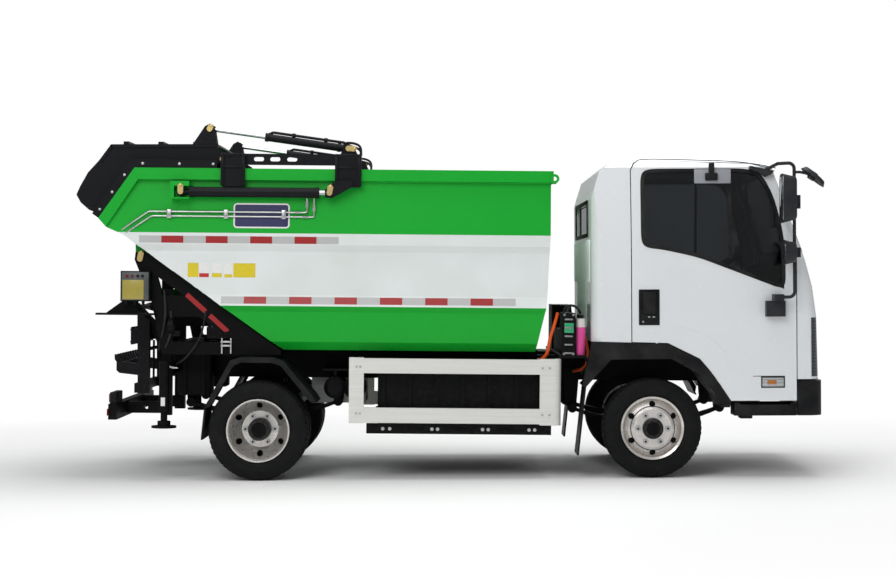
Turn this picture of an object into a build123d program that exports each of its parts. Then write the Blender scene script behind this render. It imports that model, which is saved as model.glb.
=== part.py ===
"""Battery electric self-loading garbage truck: cab, chassis, tipping tub, pusher blade, bin lifter.

Millimetres. +X points forward, +Y to the vehicle's left, +Z up. The origin is on the ground under
the middle of the overall length. The frame, tub and lifter are drawn level and then tipped nose
down by RAKE, as an unladen truck stands on its rear springs.
"""

import os
from math import cos, hypot, radians, sin

from build123d import *

# Overall places
HALF_LENGTH = 2655.0  # bumper face, and the blade's tail, from the origin
WHEELBASE = 2800.0
FRONT_AXLE_X = 1430.0
REAR_AXLE_X = FRONT_AXLE_X - WHEELBASE
RAKE = 0.8  # degrees, nose down
RAKE_PIVOT = (-300.0, 900.0)  # X and Z of the point about which the frame is tipped
SEAT = 0.3  # gap between two pieces that sit on each other
RUN = 0.8  # running gap of a shoe on its rail
PIN_FIT = 0.08  # radial clearance of a pin in its bore

# Wheels
TYRE_R = 354.0
TYRE_HALF_W = 95.0
BEAD_R = 212.0
RIM_LIP_R = 224.0
RIM_WALL = 8.0
DISC_OFFSET = 105.0  # mounting face of the disc from the middle of the rim
DISC_T = 11.0
HUB_BORE_R = 62.0
HAND_HOLE_R = 22.0
HAND_HOLE_PITCH_R = 172.0
HAND_HOLES = 6
DRUM_R = 150.0
CAP_R = 73.0
CAP_LENGTH = 35.0
HUB_LENGTH = 150.0
FRONT_WHEEL_Y = 780.0
DUAL_MOUNT_Y = 735.0
KINGPIN_Y = 650.0
KINGPIN_R = 12.0
KNUCKLE_R = 32.0

# Frame
RAIL_Y = 350.0
RAIL_BOTTOM, RAIL_TOP = 689.0, 870.0
RAIL_REAR, RAIL_FRONT = -2060.0, 2380.0
RAIL_STEP_X, RAIL_FRONT_TOP = 1690.0, 800.0  # the rails are lower under the cab's footwell
RAIL_WEB = 8.0
RAIL_FLANGE = 65.0
CROSSMEMBER_X = (-2000.0, -560.0, 745.0, 1250.0, 2230.0)

# Tub, drawn level
TUB_BOTTOM = 910.0
TUB_WALL = 8.0
FLOOR_T = 10.0
RIM_TOP = 2194.0
RIM_DEPTH = 82.0
RIM_OUT = 945.0
RIM_FRONT = 715.0
TUB_FRONT = 699.0
TUB_HINGE = (-2222.0, 1550.0)
TUB_REAR = [(-2246, RIM_TOP), (-2500, 1835), (-2442, 1770), (-2320, 1718), (-2241, 1656)]
TUB_SLOPE_FOOT = (-1197, TUB_BOTTOM)
TUB_NOSE = [(602, TUB_BOTTOM), (678, 1245), (TUB_FRONT, 1748)]
# half width of the tub's outside at each height
TUB_SECTION = [(RIM_TOP, 900), (1748, 925), (1657, 925), (1610, 890), (1302, 890), (1224, 922),
               (1182, 890), (970, 850), (TUB_BOTTOM, 780)]

# Pusher: carriage on the rim rails, blade, cylinders
BLADE_HINGE = (-1628.0, 2262.0)
BLADE_LUG = (-1727.0, 2477.0)
BLADE_TOP = 2370.0
BLADE_TAIL_Z = 2002.0
# so that the tipped tail stands half the overall length behind the origin
BLADE_TAIL_X = RAKE_PIVOT[0] - (HALF_LENGTH + RAKE_PIVOT[0] + (BLADE_TAIL_Z - RAKE_PIVOT[1]) * sin(radians(RAKE))
                                ) / cos(radians(RAKE))
BLADE_HALF_W = 870.0
BLADE_T = 12.0
SWING_BASE = (-740.0, 2345.0)
SWING_Y = BLADE_HALF_W - 35.0
SWING_BARREL = 600.0
SWING_ROD = 640.0
SWING_BARREL_R = 27.0
SWING_ROD_R = 14.0
SHOE_X = [(-1625.0, -1473.0), (-819.0, -653.0)]
SHOE_BOTTOM = 2066.0
SHOE_T = 16.0
SLIDE_Z = 2025.0
SLIDE_Y = 957.0
SLIDE_BASE_X = -1912.0
SLIDE_EYE_X = -865.0
SLIDE_STROKE = 800.0
SLIDE_BARREL_R = 36.0
SLIDE_ROD_R = 20.0
SLIDE_LUG_Y = (SLIDE_Y + SLIDE_ROD_R + 1, SLIDE_Y + SLIDE_ROD_R + 13)

# Tipping cylinders under the tub
LIFT_BASE = (-1300.0, 640.0)
LIFT_EYE = (-1750.0, 1240.0)
LIFT_Y = 230.0
LIFT_BARREL = 560.0
LIFT_ROD = 640.0
LIFT_BARREL_R = 40.0
LIFT_ROD_R = 22.0

# Bin lifter, drawn level
MAST_X = (-2140.0, -2062.0)
MAST_Y = (300.0, 360.0)
MAST_Z = (400.0, 1450.0)
LIFTER_PIVOT = (-2334.0, 1194.0)
LIFTER_SHAFT_R = 20.0

# Cab, level with the road
CAB_WALL = 40.0
CAB_REAR = 1000.0
CAB_HALF_W = 900.0
CAB_SPLIT_Z = 2205.0
DOOR_REAR = 1283.0
DOOR_GAP = 7.0
BELT_Z = 1545.0
CAB_HINGE_LINE = 1400.0  # height at which the cab's sides start to lean in
ROOF_HALF_W = 842.0
ROOF_SIDE_Z = 2210.0
REAR_CORNER_R = 110.0
# roof and back in side view, ahead of the front's own line
CAB_SIDE = [(CAB_REAR, 300), (CAB_REAR, 1985), (1060, 2180), (1180, 2275), (1330, 2304), (2130, 2300),
            (2240, 2275), (2305, 2215), (3000, 1500), (3000, 300)]
# the front's foremost point at each height, from the bumper up the panel and the windscreen
FRONT_FACE_X = HALF_LENGTH - 23.0
FRONT_LINE = [(FRONT_FACE_X, 300), (FRONT_FACE_X, 700), (FRONT_FACE_X - 10, 1142), (FRONT_FACE_X - 38, 1354),
              (FRONT_FACE_X - 88, BELT_Z), (FRONT_FACE_X - 362, 2319)]
FRONT_BOW = 15.0  # how far the front falls back between its middle and its corners
FRONT_CORNER_R = 100.0
FRONT_HALF_W = 905.0
ARCH_TOP = [(1064, 972), (1538, 957), (1764, 845), (1870, 718), (1983, 545)]
SILL_Z = 545.0
DOOR_FRONT = 2453.0
DOOR = [(DOOR_REAR, 965)] + ARCH_TOP[1:] + [(DOOR_FRONT, SILL_Z), (DOOR_FRONT, 1792), (2315, 2187),
                                            (2138, 2236), (1380, 2262), (1310, 2245), (DOOR_REAR, 2190)]
DOOR_WINDOW = [(1361, 1690), (1396, 1645), (1517, 1632), (1764, 1576), (2365, 1339), (2365, 1608),
               (2344, 1784), (2287, 1996), (2202, 2160), (2082, 2190), (1410, 2190), (1361, 2150)]
FOOT_FLOOR_Z = 800.0
PLATFORM_EDGE_X = 1850.0
PLATFORM_Z = 985.0
FLOOR_PANEL_T = 30.0
BUMPER_BOTTOM, BUMPER_TOP = 443.0, 690.0


def slab(points, low, high, mode=Mode.ADD):
    """A side view outline, X and Z, extruded across the vehicle from y = low to y = high."""
    with BuildSketch(Plane.XZ.offset(-high)) as outline:
        with BuildLine():
            Polyline(*points, close=True)
        make_face()
    extrude(outline.sketch, amount=high - low, mode=mode)


def bar(points, rear, front, mode=Mode.ADD):
    """A cross-section, Y and Z, extruded along the vehicle from x = rear to x = front."""
    with BuildSketch(Plane.YZ.offset(rear)) as outline:
        with BuildLine():
            Polyline(*points, close=True)
        make_face()
    extrude(outline.sketch, amount=front - rear, mode=mode)


def block(x_span, y_span, z_span, mode=Mode.ADD):
    """A rectangular block between three pairs of coordinates."""
    spans = (x_span, y_span, z_span)
    with Locations([tuple(sum(span) / 2 for span in spans)]):
        Box(*(abs(span[1] - span[0]) for span in spans), mode=mode)


def post(start, end, radius, mode=Mode.ADD):
    """A round bar between two points."""
    along = Vector(*end) - Vector(*start)
    with BuildSketch(Plane(origin=start, z_dir=along)) as disc:
        Circle(radius)
    extrude(disc.sketch, amount=along.length, mode=mode)


def pin(place, y_span, radius, mode=Mode.ADD):
    """A round pin across the vehicle, at the side view point `place`."""
    post((place[0], y_span[0], place[1]), (place[0], y_span[1], place[1]), radius, mode)


def strip(points, depth):
    """The side view outline of a bent sheet whose lower face follows `points`."""
    return points + [(x, z + depth) for x, z in reversed(points)]


def along_line(start, end, distance):
    """The point at a distance from start towards end, in the side view."""
    length = hypot(end[0] - start[0], end[1] - start[1])
    return tuple(a + (b - a) * distance / length for a, b in zip(start, end))


os.makedirs("parts", exist_ok=True)


def keep(builder, name, raked=False):
    """Label a finished piece and tip it with the frame where it is carried there."""
    piece = builder.part
    if raked:
        piece = piece.rotate(Axis((RAKE_PIVOT[0], 0, RAKE_PIVOT[1]), (0, 1, 0)), RAKE)
    piece.label = name
    export_step(piece, f"parts/{name}.step")


# Wheels: tyre and pressed steel rim about the Y axis, placed by axle
def rim_outline(mount, side):
    """Radius and Y of a rim whose disc mounts at y = mount, with the rim on that side of it."""
    middle = mount + side * DISC_OFFSET
    lip = RIM_LIP_R
    seat = BEAD_R - SEAT
    inner = seat - RIM_WALL
    shape = [(lip, 80), (lip, 73), (seat, 66), (seat, -66), (lip, -73), (lip, -80), (208, -72), (inner, -42),
             (HAND_HOLE_PITCH_R, -78), (135, -DISC_OFFSET), (HUB_BORE_R, -DISC_OFFSET),
             (HUB_BORE_R, DISC_T - DISC_OFFSET), (130, DISC_T - DISC_OFFSET), (165, -66), (inner, -24),
             (inner, 66), (214, 80)]
    return [(radius, middle + side * axial) for radius, axial in shape]


def spun(outline, centre_x, centre_z=TYRE_R, mode=Mode.ADD):
    """Revolve a radius and Y outline about an axle line."""
    with BuildSketch(Plane(origin=(centre_x, 0, centre_z), x_dir=(0, 0, 1), z_dir=(1, 0, 0))) as half:
        with BuildLine():
            Polyline(*[(radius, -y) for radius, y in outline], close=True)
        make_face()
    revolve(half.sketch, axis=Axis((centre_x, 0, centre_z), (0, 1, 0)), mode=mode)


def tyre(centre_x, centre_y):
    """A road tyre without its tread: bead, bulging sidewall, shoulder and crown."""
    with BuildSketch(Plane(origin=(centre_x, 0, TYRE_R), x_dir=(0, 0, 1), z_dir=(1, 0, 0))) as half:
        with BuildLine():
            middle = -centre_y
            bead_w = 65.5
            for side in (-1, 1):
                flange_edge = (RIM_LIP_R + 1, middle + side * 72.3)
                shoulder = (TYRE_R - 18, middle + side * (TYRE_HALF_W - 14))
                Line((BEAD_R, middle + side * bead_w), flange_edge)
                ThreePointArc(flange_edge, (286, middle + side * TYRE_HALF_W), shoulder)
                Line(shoulder, (TYRE_R - 4, middle + side * (TYRE_HALF_W - 26)))
            tread_edge = TYRE_HALF_W - 26
            ThreePointArc((TYRE_R - 4, middle - tread_edge), (TYRE_R, middle), (TYRE_R - 4, middle + tread_edge))
            Line((BEAD_R, middle - bead_w), (BEAD_R, middle + bead_w))
        make_face()
    revolve(half.sketch, axis=Axis((centre_x, 0, TYRE_R), (0, 1, 0)))


def hand_holes(centre_x, y_span):
    """The round holes in a rim's disc."""
    for index in range(HAND_HOLES):
        turn = radians(30 + 360 / HAND_HOLES * index)
        place = (centre_x + HAND_HOLE_PITCH_R * cos(turn), TYRE_R + HAND_HOLE_PITCH_R * sin(turn))
        pin(place, y_span, HAND_HOLE_R, Mode.SUBTRACT)


for side, side_name in ((-1, "right"), (1, "left")):
    front_mount = side * (FRONT_WHEEL_Y + DISC_OFFSET)
    hub_back = front_mount - side * HUB_LENGTH
    with BuildPart() as front_tyre:
        tyre(FRONT_AXLE_X, side * FRONT_WHEEL_Y)
    keep(front_tyre, f"tyre_front_{side_name}")

    with BuildPart() as front_rim:
        spun(rim_outline(front_mount, -side), FRONT_AXLE_X)
        hand_holes(FRONT_AXLE_X, (front_mount, front_mount - side * (DISC_OFFSET - RIM_WALL)))
        face = front_mount - side * DISC_T
        spun([(0, front_mount + side * CAP_LENGTH), (CAP_R - 12, front_mount + side * CAP_LENGTH),
              (CAP_R, front_mount + side * (CAP_LENGTH - 12)), (CAP_R, front_mount), (HUB_BORE_R, front_mount),
              (HUB_BORE_R, face), (120, face), (DRUM_R, face - side * 40), (DRUM_R, hub_back), (0, hub_back)],
             FRONT_AXLE_X)
    keep(front_rim, f"rim_front_{side_name}")

    with BuildPart() as rear_tyres:
        for step in (-1, 1):
            tyre(REAR_AXLE_X, side * DUAL_MOUNT_Y + step * DISC_OFFSET)
    keep(rear_tyres, f"tyres_rear_{side_name}")

    mount = side * DUAL_MOUNT_Y
    inner_face = mount - side * DISC_T
    rear_hub_back = mount - side * 175
    with BuildPart() as rear_rims:
        for step in (-1, 1):
            spun(rim_outline(mount, step), REAR_AXLE_X)
        reach = DISC_OFFSET - RIM_WALL
        hand_holes(REAR_AXLE_X, (mount - reach, mount + reach))
        spun([(0, mount + side * 120), (CAP_R - 4, mount + side * 120), (CAP_R + 6, mount + side * 100),
              (CAP_R + 6, mount + side * DISC_T), (HUB_BORE_R, mount + side * DISC_T), (HUB_BORE_R, inner_face),
              (120, inner_face), (DRUM_R, inner_face - side * 40), (DRUM_R, rear_hub_back), (0, rear_hub_back)],
             REAR_AXLE_X)
    keep(rear_rims, f"rims_rear_{side_name}")

    hub_inner = hub_back - side * SEAT
    with BuildPart() as knuckle:
        axle_z = TYRE_R
        for low, high in ((axle_z - 60, axle_z - 30 - SEAT), (axle_z + 30 + SEAT, axle_z + 60)):
            ear_end = side * (KINGPIN_Y + KNUCKLE_R + 6)
            post((FRONT_AXLE_X, side * KINGPIN_Y, low), (FRONT_AXLE_X, side * KINGPIN_Y, high), KNUCKLE_R)
            block((FRONT_AXLE_X - 30, FRONT_AXLE_X + 30), (side * KINGPIN_Y, ear_end), (low, high))
        yoke = (side * (KINGPIN_Y + KNUCKLE_R + 6), side * (KINGPIN_Y + KNUCKLE_R + 26))
        block((FRONT_AXLE_X - 45, FRONT_AXLE_X + 45), yoke, (axle_z - 70, axle_z + 70))
        pin((FRONT_AXLE_X, axle_z), (yoke[1], hub_inner), 38)
        post((FRONT_AXLE_X, side * KINGPIN_Y, axle_z - 60), (FRONT_AXLE_X, side * KINGPIN_Y, axle_z + 60), KINGPIN_R)
        steering_arm = (FRONT_AXLE_X - 180, FRONT_AXLE_X - 30)
        block(steering_arm, (yoke[0] - side * 8, yoke[1]), (axle_z - 60, axle_z - 40))
    keep(knuckle, f"knuckle_{side_name}")

# Axles and springs
AXLE_TUBE_R = 52.0
BANJO_R = 155.0
with BuildPart() as front_axle:
    drop = 46
    half = [(0, TYRE_R - drop - 40), (460, TYRE_R - drop - 40), (KINGPIN_Y - 50, TYRE_R - 28),
            (KINGPIN_Y, TYRE_R - 28), (KINGPIN_Y, TYRE_R + 28), (KINGPIN_Y - 40, TYRE_R + 28),
            (460, TYRE_R - drop + 30), (0, TYRE_R - drop + 30)]
    bar(half, FRONT_AXLE_X - 28, FRONT_AXLE_X + 28)
    post((FRONT_AXLE_X, KINGPIN_Y, TYRE_R - 30), (FRONT_AXLE_X, KINGPIN_Y, TYRE_R + 30), KNUCKLE_R)
    post((FRONT_AXLE_X, KINGPIN_Y, TYRE_R - 80), (FRONT_AXLE_X, KINGPIN_Y, TYRE_R + 80), KINGPIN_R + PIN_FIT,
         Mode.SUBTRACT)
    mirror(about=Plane.XZ)
keep(front_axle, "front_axle")

with BuildPart() as rear_axle:
    end = DUAL_MOUNT_Y - 175 - SEAT
    half = [(BANJO_R, 60), (120, 130), (AXLE_TUBE_R, 200), (AXLE_TUBE_R, end - 60), (75, end - 30), (75, end),
            (0, end)]
    spun([(radius, -y) for radius, y in half[::-1]] + half, REAR_AXLE_X)
keep(rear_axle, "rear_axle")

SPRING_HALF = 540.0
SPRING_T = 44.0
SPRING_Y = (372.0, 442.0)
HANGER_Y = (RAIL_Y + SEAT, 452.0)
with BuildPart() as leaf_springs:
    # axle X, height of the spring's underside at the axle, rise to the eyes
    for centre, seat_z, rise in ((FRONT_AXLE_X, TYRE_R - 46 + 30 + SEAT, 120), (REAR_AXLE_X, TYRE_R + AXLE_TUBE_R + SEAT, 110)):
        with BuildSketch(Plane.XZ.offset(-SPRING_Y[1])) as leaves:
            with BuildLine():
                low = ThreePointArc((centre - SPRING_HALF, seat_z + rise), (centre, seat_z),
                                    (centre + SPRING_HALF, seat_z + rise))
                top = ThreePointArc((centre - SPRING_HALF, seat_z + rise + 22), (centre, seat_z + SPRING_T),
                                    (centre + SPRING_HALF, seat_z + rise + 22))
                Line(low @ 0, top @ 0)
                Line(low @ 1, top @ 1)
            make_face()
        extrude(leaves.sketch, amount=SPRING_Y[1] - SPRING_Y[0])
        for end in (-1, 1):
            eye = (centre + end * SPRING_HALF, seat_z + rise + 11)
            pin(eye, HANGER_Y, 34)
            slab([(eye[0] - 34, eye[1]), (eye[0] + 34, eye[1]), (eye[0] + 60, 760), (eye[0] - 60, 760)],
                 HANGER_Y[0], HANGER_Y[0] + 18)
    mirror(about=Plane.XZ)
keep(leaf_springs, "leaf_springs")

# Frame rails, subframe with the tub's hinge towers, and the lifter's mast
with BuildPart() as frame_rails:
    web = RAIL_Y - RAIL_WEB
    lip = RAIL_Y - RAIL_FLANGE
    under_top = [(RAIL_REAR, RAIL_TOP - RAIL_WEB), (RAIL_STEP_X, RAIL_TOP - RAIL_WEB),
                 (RAIL_STEP_X + 100, RAIL_FRONT_TOP - RAIL_WEB), (RAIL_FRONT, RAIL_FRONT_TOP - RAIL_WEB)]
    slab([(RAIL_FRONT, RAIL_BOTTOM), (RAIL_REAR, RAIL_BOTTOM)] + under_top, web, RAIL_Y)
    slab(strip(under_top, RAIL_WEB), lip, RAIL_Y)
    block((RAIL_REAR, RAIL_FRONT), (lip, RAIL_Y), (RAIL_BOTTOM, RAIL_BOTTOM + RAIL_WEB))
    for x in CROSSMEMBER_X:
        block((x - 30, x + 30), (0, web), (RAIL_BOTTOM + 30, RAIL_FRONT_TOP - 20))
    pin(LIFT_BASE, (0, web), 25)
    slab([(LIFT_BASE[0] - 50, LIFT_BASE[1] - 40), (LIFT_BASE[0] + 50, LIFT_BASE[1] - 40),
          (LIFT_BASE[0] + 90, RAIL_BOTTOM + 60), (LIFT_BASE[0] - 90, RAIL_BOTTOM + 60)], web - 16, web)
    mirror(about=Plane.XZ)
keep(frame_rails, "frame_rails", raked=True)

SUB_TOP = TUB_BOTTOM - SEAT
TOWER_Y = (760.0, 820.0)
SLOPE = (TUB_REAR[-1][1] - TUB_BOTTOM) / (TUB_SLOPE_FOOT[0] - TUB_REAR[-1][0])


def slope_z(x, below=0.0):
    """Height of the tub's sloping underside at x, less a vertical distance."""
    return TUB_REAR[-1][1] - SLOPE * (x - TUB_REAR[-1][0]) - below


with BuildPart() as tilt_frame:
    base = RAIL_TOP + SEAT
    block((RAIL_REAR, 640), (RAIL_Y - 65, RAIL_Y - 5), (base, SUB_TOP))
    outer = [(RAIL_REAR, base), (-2136, 1234), (-2262, 1545), (-2255, 1600), (-2200, 1600),
             (-2150, slope_z(-2150, 16)), (-1215, slope_z(-1215, 16)), (-1215, base)]
    slab(outer, *TOWER_Y)
    slab([(-2100, 1425), (-2062, 1290), (-1905, 1290)], *TOWER_Y, mode=Mode.SUBTRACT)
    slab([(-2042, 1140), (-1990, 960), (-1550, 960), (-1800, 1140)], *TOWER_Y, mode=Mode.SUBTRACT)
    pin(TUB_HINGE, (TOWER_Y[0] - 70, TOWER_Y[1] + 8), 22)
    block((RAIL_REAR, -1970), (0, TOWER_Y[0]), (base, base + 70))
    block((-1300, -1230), (0, TOWER_Y[0]), (base, SUB_TOP))
    pin((-2030, 1300), (0, TOWER_Y[0]), 34)
    block(MAST_X, MAST_Y, MAST_Z)
    block(MAST_X, (0, MAST_Y[0]), (1380, 1440))
    block((MAST_X[1], RAIL_REAR + 60), MAST_Y, (base, base + 70))
    post((MAST_X[1] - 20, MAST_Y[0] + 30, 1300), (-2030, MAST_Y[0] + 30, 1300), 25)
    mirror(about=Plane.XZ)
keep(tilt_frame, "tilt_frame", raked=True)

# Battery, motor, power unit
with BuildPart() as battery_pack:
    bar([(0, 330), (800, 330), (800, 785), (RAIL_Y + SEAT, 785), (RAIL_Y + SEAT, RAIL_BOTTOM - SEAT),
         (0, RAIL_BOTTOM - SEAT)], -520, 700)
    block((-597, 717), (800, 868), (323, 392))
    for rib in range(7):
        x = -480 + 190 * rib
        block((x - 12, x + 12), (800, 818), (392, 785))
    mirror(about=Plane.XZ)
keep(battery_pack, "battery_pack", raked=True)

with BuildPart() as drive_motor:
    motor_x, motor_z = -1040.0, 610.0
    block((motor_x, -640), (-200, 200), (500, 790))
    for side in (-1, 1):
        block((-900, -780), (side * 200, side * (RAIL_Y - RAIL_WEB - SEAT)), (720, 780))
    flange = along_line((REAR_AXLE_X, TYRE_R), (motor_x, motor_z), BANJO_R + SEAT)
    post((motor_x + 20, 0, motor_z), (flange[0], 0, flange[1]), 38)
keep(drive_motor, "drive_motor")

with BuildPart() as power_unit:
    base = RAIL_TOP + SEAT
    block((770, 960), (-860, 860), (base, base + 20))
    block((790, 885), (-850, -560), (base + 20, 1190))
    block((800, 930), (-500, 300), (base + 20, 1060))
    block((790, 940), (380, 850), (base + 20, 1230))
    for y in (-790, -690):
        post((925, y, base + 20), (925, y, 1150), 34)
        post((925, y, 1150), (925, y, 1170), 20)
keep(power_unit, "power_unit", raked=True)

# Side guards, rear mudguards, stabiliser legs, underrun bar
GUARD_Y = (893.0, 930.0)
with BuildPart() as side_guards:
    block((-615, 631), GUARD_Y, (755, 860))
    block((-615, 631), GUARD_Y, (404, 511))
    block((-719, -615), GUARD_Y, (400, 865))
    with BuildSketch(Plane.XY.offset(396)) as nose_post:
        with BuildLine():
            Polyline((631, GUARD_Y[0]), (631, GUARD_Y[1]), (730, GUARD_Y[1]))
            RadiusArc((730, GUARD_Y[1]), (783, 877), 53)
            Polyline((783, 877), (783, 840), (745, 840), (745, GUARD_Y[0]), (631, GUARD_Y[0]))
        make_face()
    extrude(nose_post.sketch, amount=469)
    for x in (-690, 640):
        block((x, x + 45), (RAIL_Y + SEAT, GUARD_Y[0]), (800, 845))
    mirror(about=Plane.XZ)
keep(side_guards, "side_guards", raked=True)

ARCH = [(-1742, 500), (-1700, 575), (-1560, 835), (-1488, 860), (-1257, 860), (-1183, 835), (-975, 590), (-946, 545)]
ARCH_T = 12.0
MUDGUARD_Y = (545.0, 945.0)
with BuildPart() as rear_mudguards:
    inner = [(-1728, 500), (-1688, 569), (-1551, 824), (-1486, 848), (-1259, 848), (-1190, 825), (-985, 583), (-960, 545)]
    slab(ARCH + inner[::-1], *MUDGUARD_Y)
    lip = [(-1705, 505), (-1668, 560), (-1538, 800), (-1480, 822), (-1265, 822), (-1203, 802), (-1008, 570), (-985, 545)]
    slab(ARCH + lip[::-1], MUDGUARD_Y[1] - 10, MUDGUARD_Y[1])
    slab([(-1742, 500), (-1730, 500), (-1752, 272), (-1764, 272)], MUDGUARD_Y[0] + 20, MUDGUARD_Y[1] - 12)
    for x in (-1478, -1275):
        post((x, RAIL_Y + SEAT, 836), (x, MUDGUARD_Y[1] - 60, 836), 14)
    mirror(about=Plane.XZ)
keep(rear_mudguards, "rear_mudguards", raked=True)

LEG_X, LEG_Y, LEG_R = -2034.0, 872.0, 37.0
with BuildPart() as stabiliser_legs:
    post((LEG_X, LEG_Y, 468), (LEG_X, LEG_Y, 826), LEG_R)
    post((LEG_X, LEG_Y, 400), (LEG_X, LEG_Y, 468), 24)
    post((LEG_X, LEG_Y, 366), (LEG_X, LEG_Y, 400), 46)
    post((LEG_X, LEG_Y, 352), (LEG_X, LEG_Y, 366), 88)
    block((-2050, -1985), (RAIL_Y + SEAT, LEG_Y - LEG_R + 8), (730, 800))
    mirror(about=Plane.XZ)
keep(stabiliser_legs, "stabiliser_legs", raked=True)

UNDERRUN_X = (-2445.0, -2385.0)
TOW_BORE = (-2250.0, 457.0)  # X and Z of the tie-down holes in the bar's brackets
TOW_BORE_R = 16.0
with BuildPart() as rear_underrun:
    block(UNDERRUN_X, (0, 800), (399, 510))
    block((UNDERRUN_X[1], MAST_X[0] - SEAT), MAST_Y, (415, 500))
    pin(TOW_BORE, (MAST_Y[0] - 5, MAST_Y[1] + 5), TOW_BORE_R, mode=Mode.SUBTRACT)
    mirror(about=Plane.XZ)
keep(rear_underrun, "rear_underrun", raked=True)

with BuildPart() as tail_lamps:
    block((-2440, -2395), (540, 770), (510 + SEAT, 590))
    mirror(about=Plane.XZ)

with BuildPart() as control_box:
    tower_face = -TOWER_Y[1] - SEAT
    block((-2345, -2137), (-905, tower_face), (1248, 1463))
    block((-2521, -2100), (-905, tower_face), (1150, 1164))
    slab([(-2460, 1164), (-2345, 1248), (-2230, 1248), (-2230, 1164)], tower_face - 8, tower_face)
keep(control_box, "control_box", raked=True)

# Tub: two creased sides, bent floor, front wall, rim rails, guards
TUB_OUTLINE = TUB_REAR + [TUB_SLOPE_FOOT] + TUB_NOSE + [(TUB_FRONT, RIM_TOP)]
TUB_SPAN = (-2600.0, 800.0)


def section(inset):
    """The tub's closed cross-section, Y and Z, drawn in by inset."""
    right = [(-(half - inset), z) for z, half in TUB_SECTION]
    return right + [(-y, z) for y, z in reversed(right)]


def side_band():
    """Outer and inner line of one tub side, as a closed cross-section."""
    line = [(half, z) for z, half in TUB_SECTION]
    return line + [(y - TUB_WALL, z) for y, z in reversed(line)]


with BuildPart() as tub_sides:
    bar(side_band(), *TUB_SPAN)
    slab(TUB_OUTLINE, 700, 1000, mode=Mode.INTERSECT)
    mirror(about=Plane.XZ)
keep(tub_sides, "tub_sides", raked=True)

floor_line = TUB_REAR[1:] + [TUB_SLOPE_FOOT, (TUB_NOSE[0][0] - FLOOR_T, TUB_BOTTOM)]
with BuildPart() as tub_floor:
    slab(strip(floor_line, FLOOR_T), -1000, 1000)
    bar(section(TUB_WALL), *TUB_SPAN, mode=Mode.INTERSECT)
    # lugs for the tipping cylinders and for the tub's own hinge
    lug = [(LIFT_EYE[0] - 60, slope_z(LIFT_EYE[0] - 60, -5)), (LIFT_EYE[0] - 30, LIFT_EYE[1] - 35),
           (LIFT_EYE[0] + 30, LIFT_EYE[1] - 35), (LIFT_EYE[0] + 60, slope_z(LIFT_EYE[0] + 60, -5))]
    hinge_lug = [(TUB_HINGE[0] - 46, 1680), (TUB_HINGE[0] - 42, TUB_HINGE[1] - 30), (TUB_HINGE[0], TUB_HINGE[1] - 46),
                 (TUB_HINGE[0] + 42, TUB_HINGE[1] - 30), (TUB_HINGE[0] + 90, slope_z(TUB_HINGE[0] + 90, -5))]
    for side in (-1, 1):
        for low, high in ((LIFT_Y - 40, LIFT_Y - 28), (LIFT_Y + 28, LIFT_Y + 40)):
            slab(lug, *sorted((side * low, side * high)))
        slab(hinge_lug, *sorted((side * 700, side * (TOWER_Y[0] - 8))))
        pin(TUB_HINGE, (side * 690, side * (TOWER_Y[0] + 10)), 22 + PIN_FIT, mode=Mode.SUBTRACT)
keep(tub_floor, "tub_floor", raked=True)

with BuildPart() as tub_front:
    nose = TUB_NOSE + [(TUB_FRONT, RIM_TOP)]
    slab(nose + [(x - FLOOR_T, z) for x, z in reversed(nose)], -1000, 1000)
    bar(section(TUB_WALL), *TUB_SPAN, mode=Mode.INTERSECT)
keep(tub_front, "tub_front", raked=True)

rim_low = RIM_TOP - RIM_DEPTH
with BuildPart() as tub_rim:
    slab([(RIM_FRONT, RIM_TOP), TUB_REAR[0], TUB_REAR[1], (-2446, 1775), (-2221, rim_low), (RIM_FRONT, rim_low)],
         850, RIM_OUT)
    bar(section(0), *TUB_SPAN, mode=Mode.SUBTRACT)
    block((TUB_FRONT, RIM_FRONT), (0, RIM_OUT), (rim_low, RIM_TOP))
    # box bracket that carries the slide cylinder's fixed end
    block((-1986, -1853), (905, 1000), (1975, 2100))
    bar(section(0), -2000, -1840, mode=Mode.SUBTRACT)
    block((-1958, -1850), (SLIDE_Y - 22 - SEAT, 1001), (1985, 2065), mode=Mode.SUBTRACT)
    mirror(about=Plane.XZ)
keep(tub_rim, "tub_rim", raked=True)

with BuildPart() as rim_guards:
    slab([(-1668, RIM_TOP + SEAT), (-1668, 2252), (-2276, 2252), (-2545, 1867), (-2500.4, 1835.6),
          (-2246.3, RIM_TOP + SEAT)], 924, 936)
    mirror(about=Plane.XZ)
keep(rim_guards, "rim_guards", raked=True)

BARREL_END_X = -938.0
with BuildPart() as slide_cylinder_barrels:
    start = SLIDE_BASE_X + 64
    post((SLIDE_BASE_X, SLIDE_Y, SLIDE_Z), (start + 10, SLIDE_Y, SLIDE_Z), 20)
    post((start, SLIDE_Y, SLIDE_Z), (BARREL_END_X, SLIDE_Y, SLIDE_Z), SLIDE_BARREL_R)
    post((start + 40, SLIDE_Y, SLIDE_Z), (BARREL_END_X, SLIDE_Y, SLIDE_Z), SLIDE_BARREL_R - 9, Mode.SUBTRACT)
    post((BARREL_END_X - 22, SLIDE_Y, SLIDE_Z), (BARREL_END_X, SLIDE_Y, SLIDE_Z), SLIDE_BARREL_R - 9)
    post((BARREL_END_X - 30, SLIDE_Y, SLIDE_Z), (BARREL_END_X + 1, SLIDE_Y, SLIDE_Z), SLIDE_ROD_R + PIN_FIT,
         Mode.SUBTRACT)
    pin((SLIDE_BASE_X, SLIDE_Z), (SLIDE_Y - 22, SLIDE_Y + 22), 30)
    pin((SLIDE_BASE_X, SLIDE_Z), (SLIDE_Y - 22, SLIDE_Y + 36), 16)
    mirror(about=Plane.XZ)
keep(slide_cylinder_barrels, "slide_cylinder_barrels", raked=True)

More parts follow.
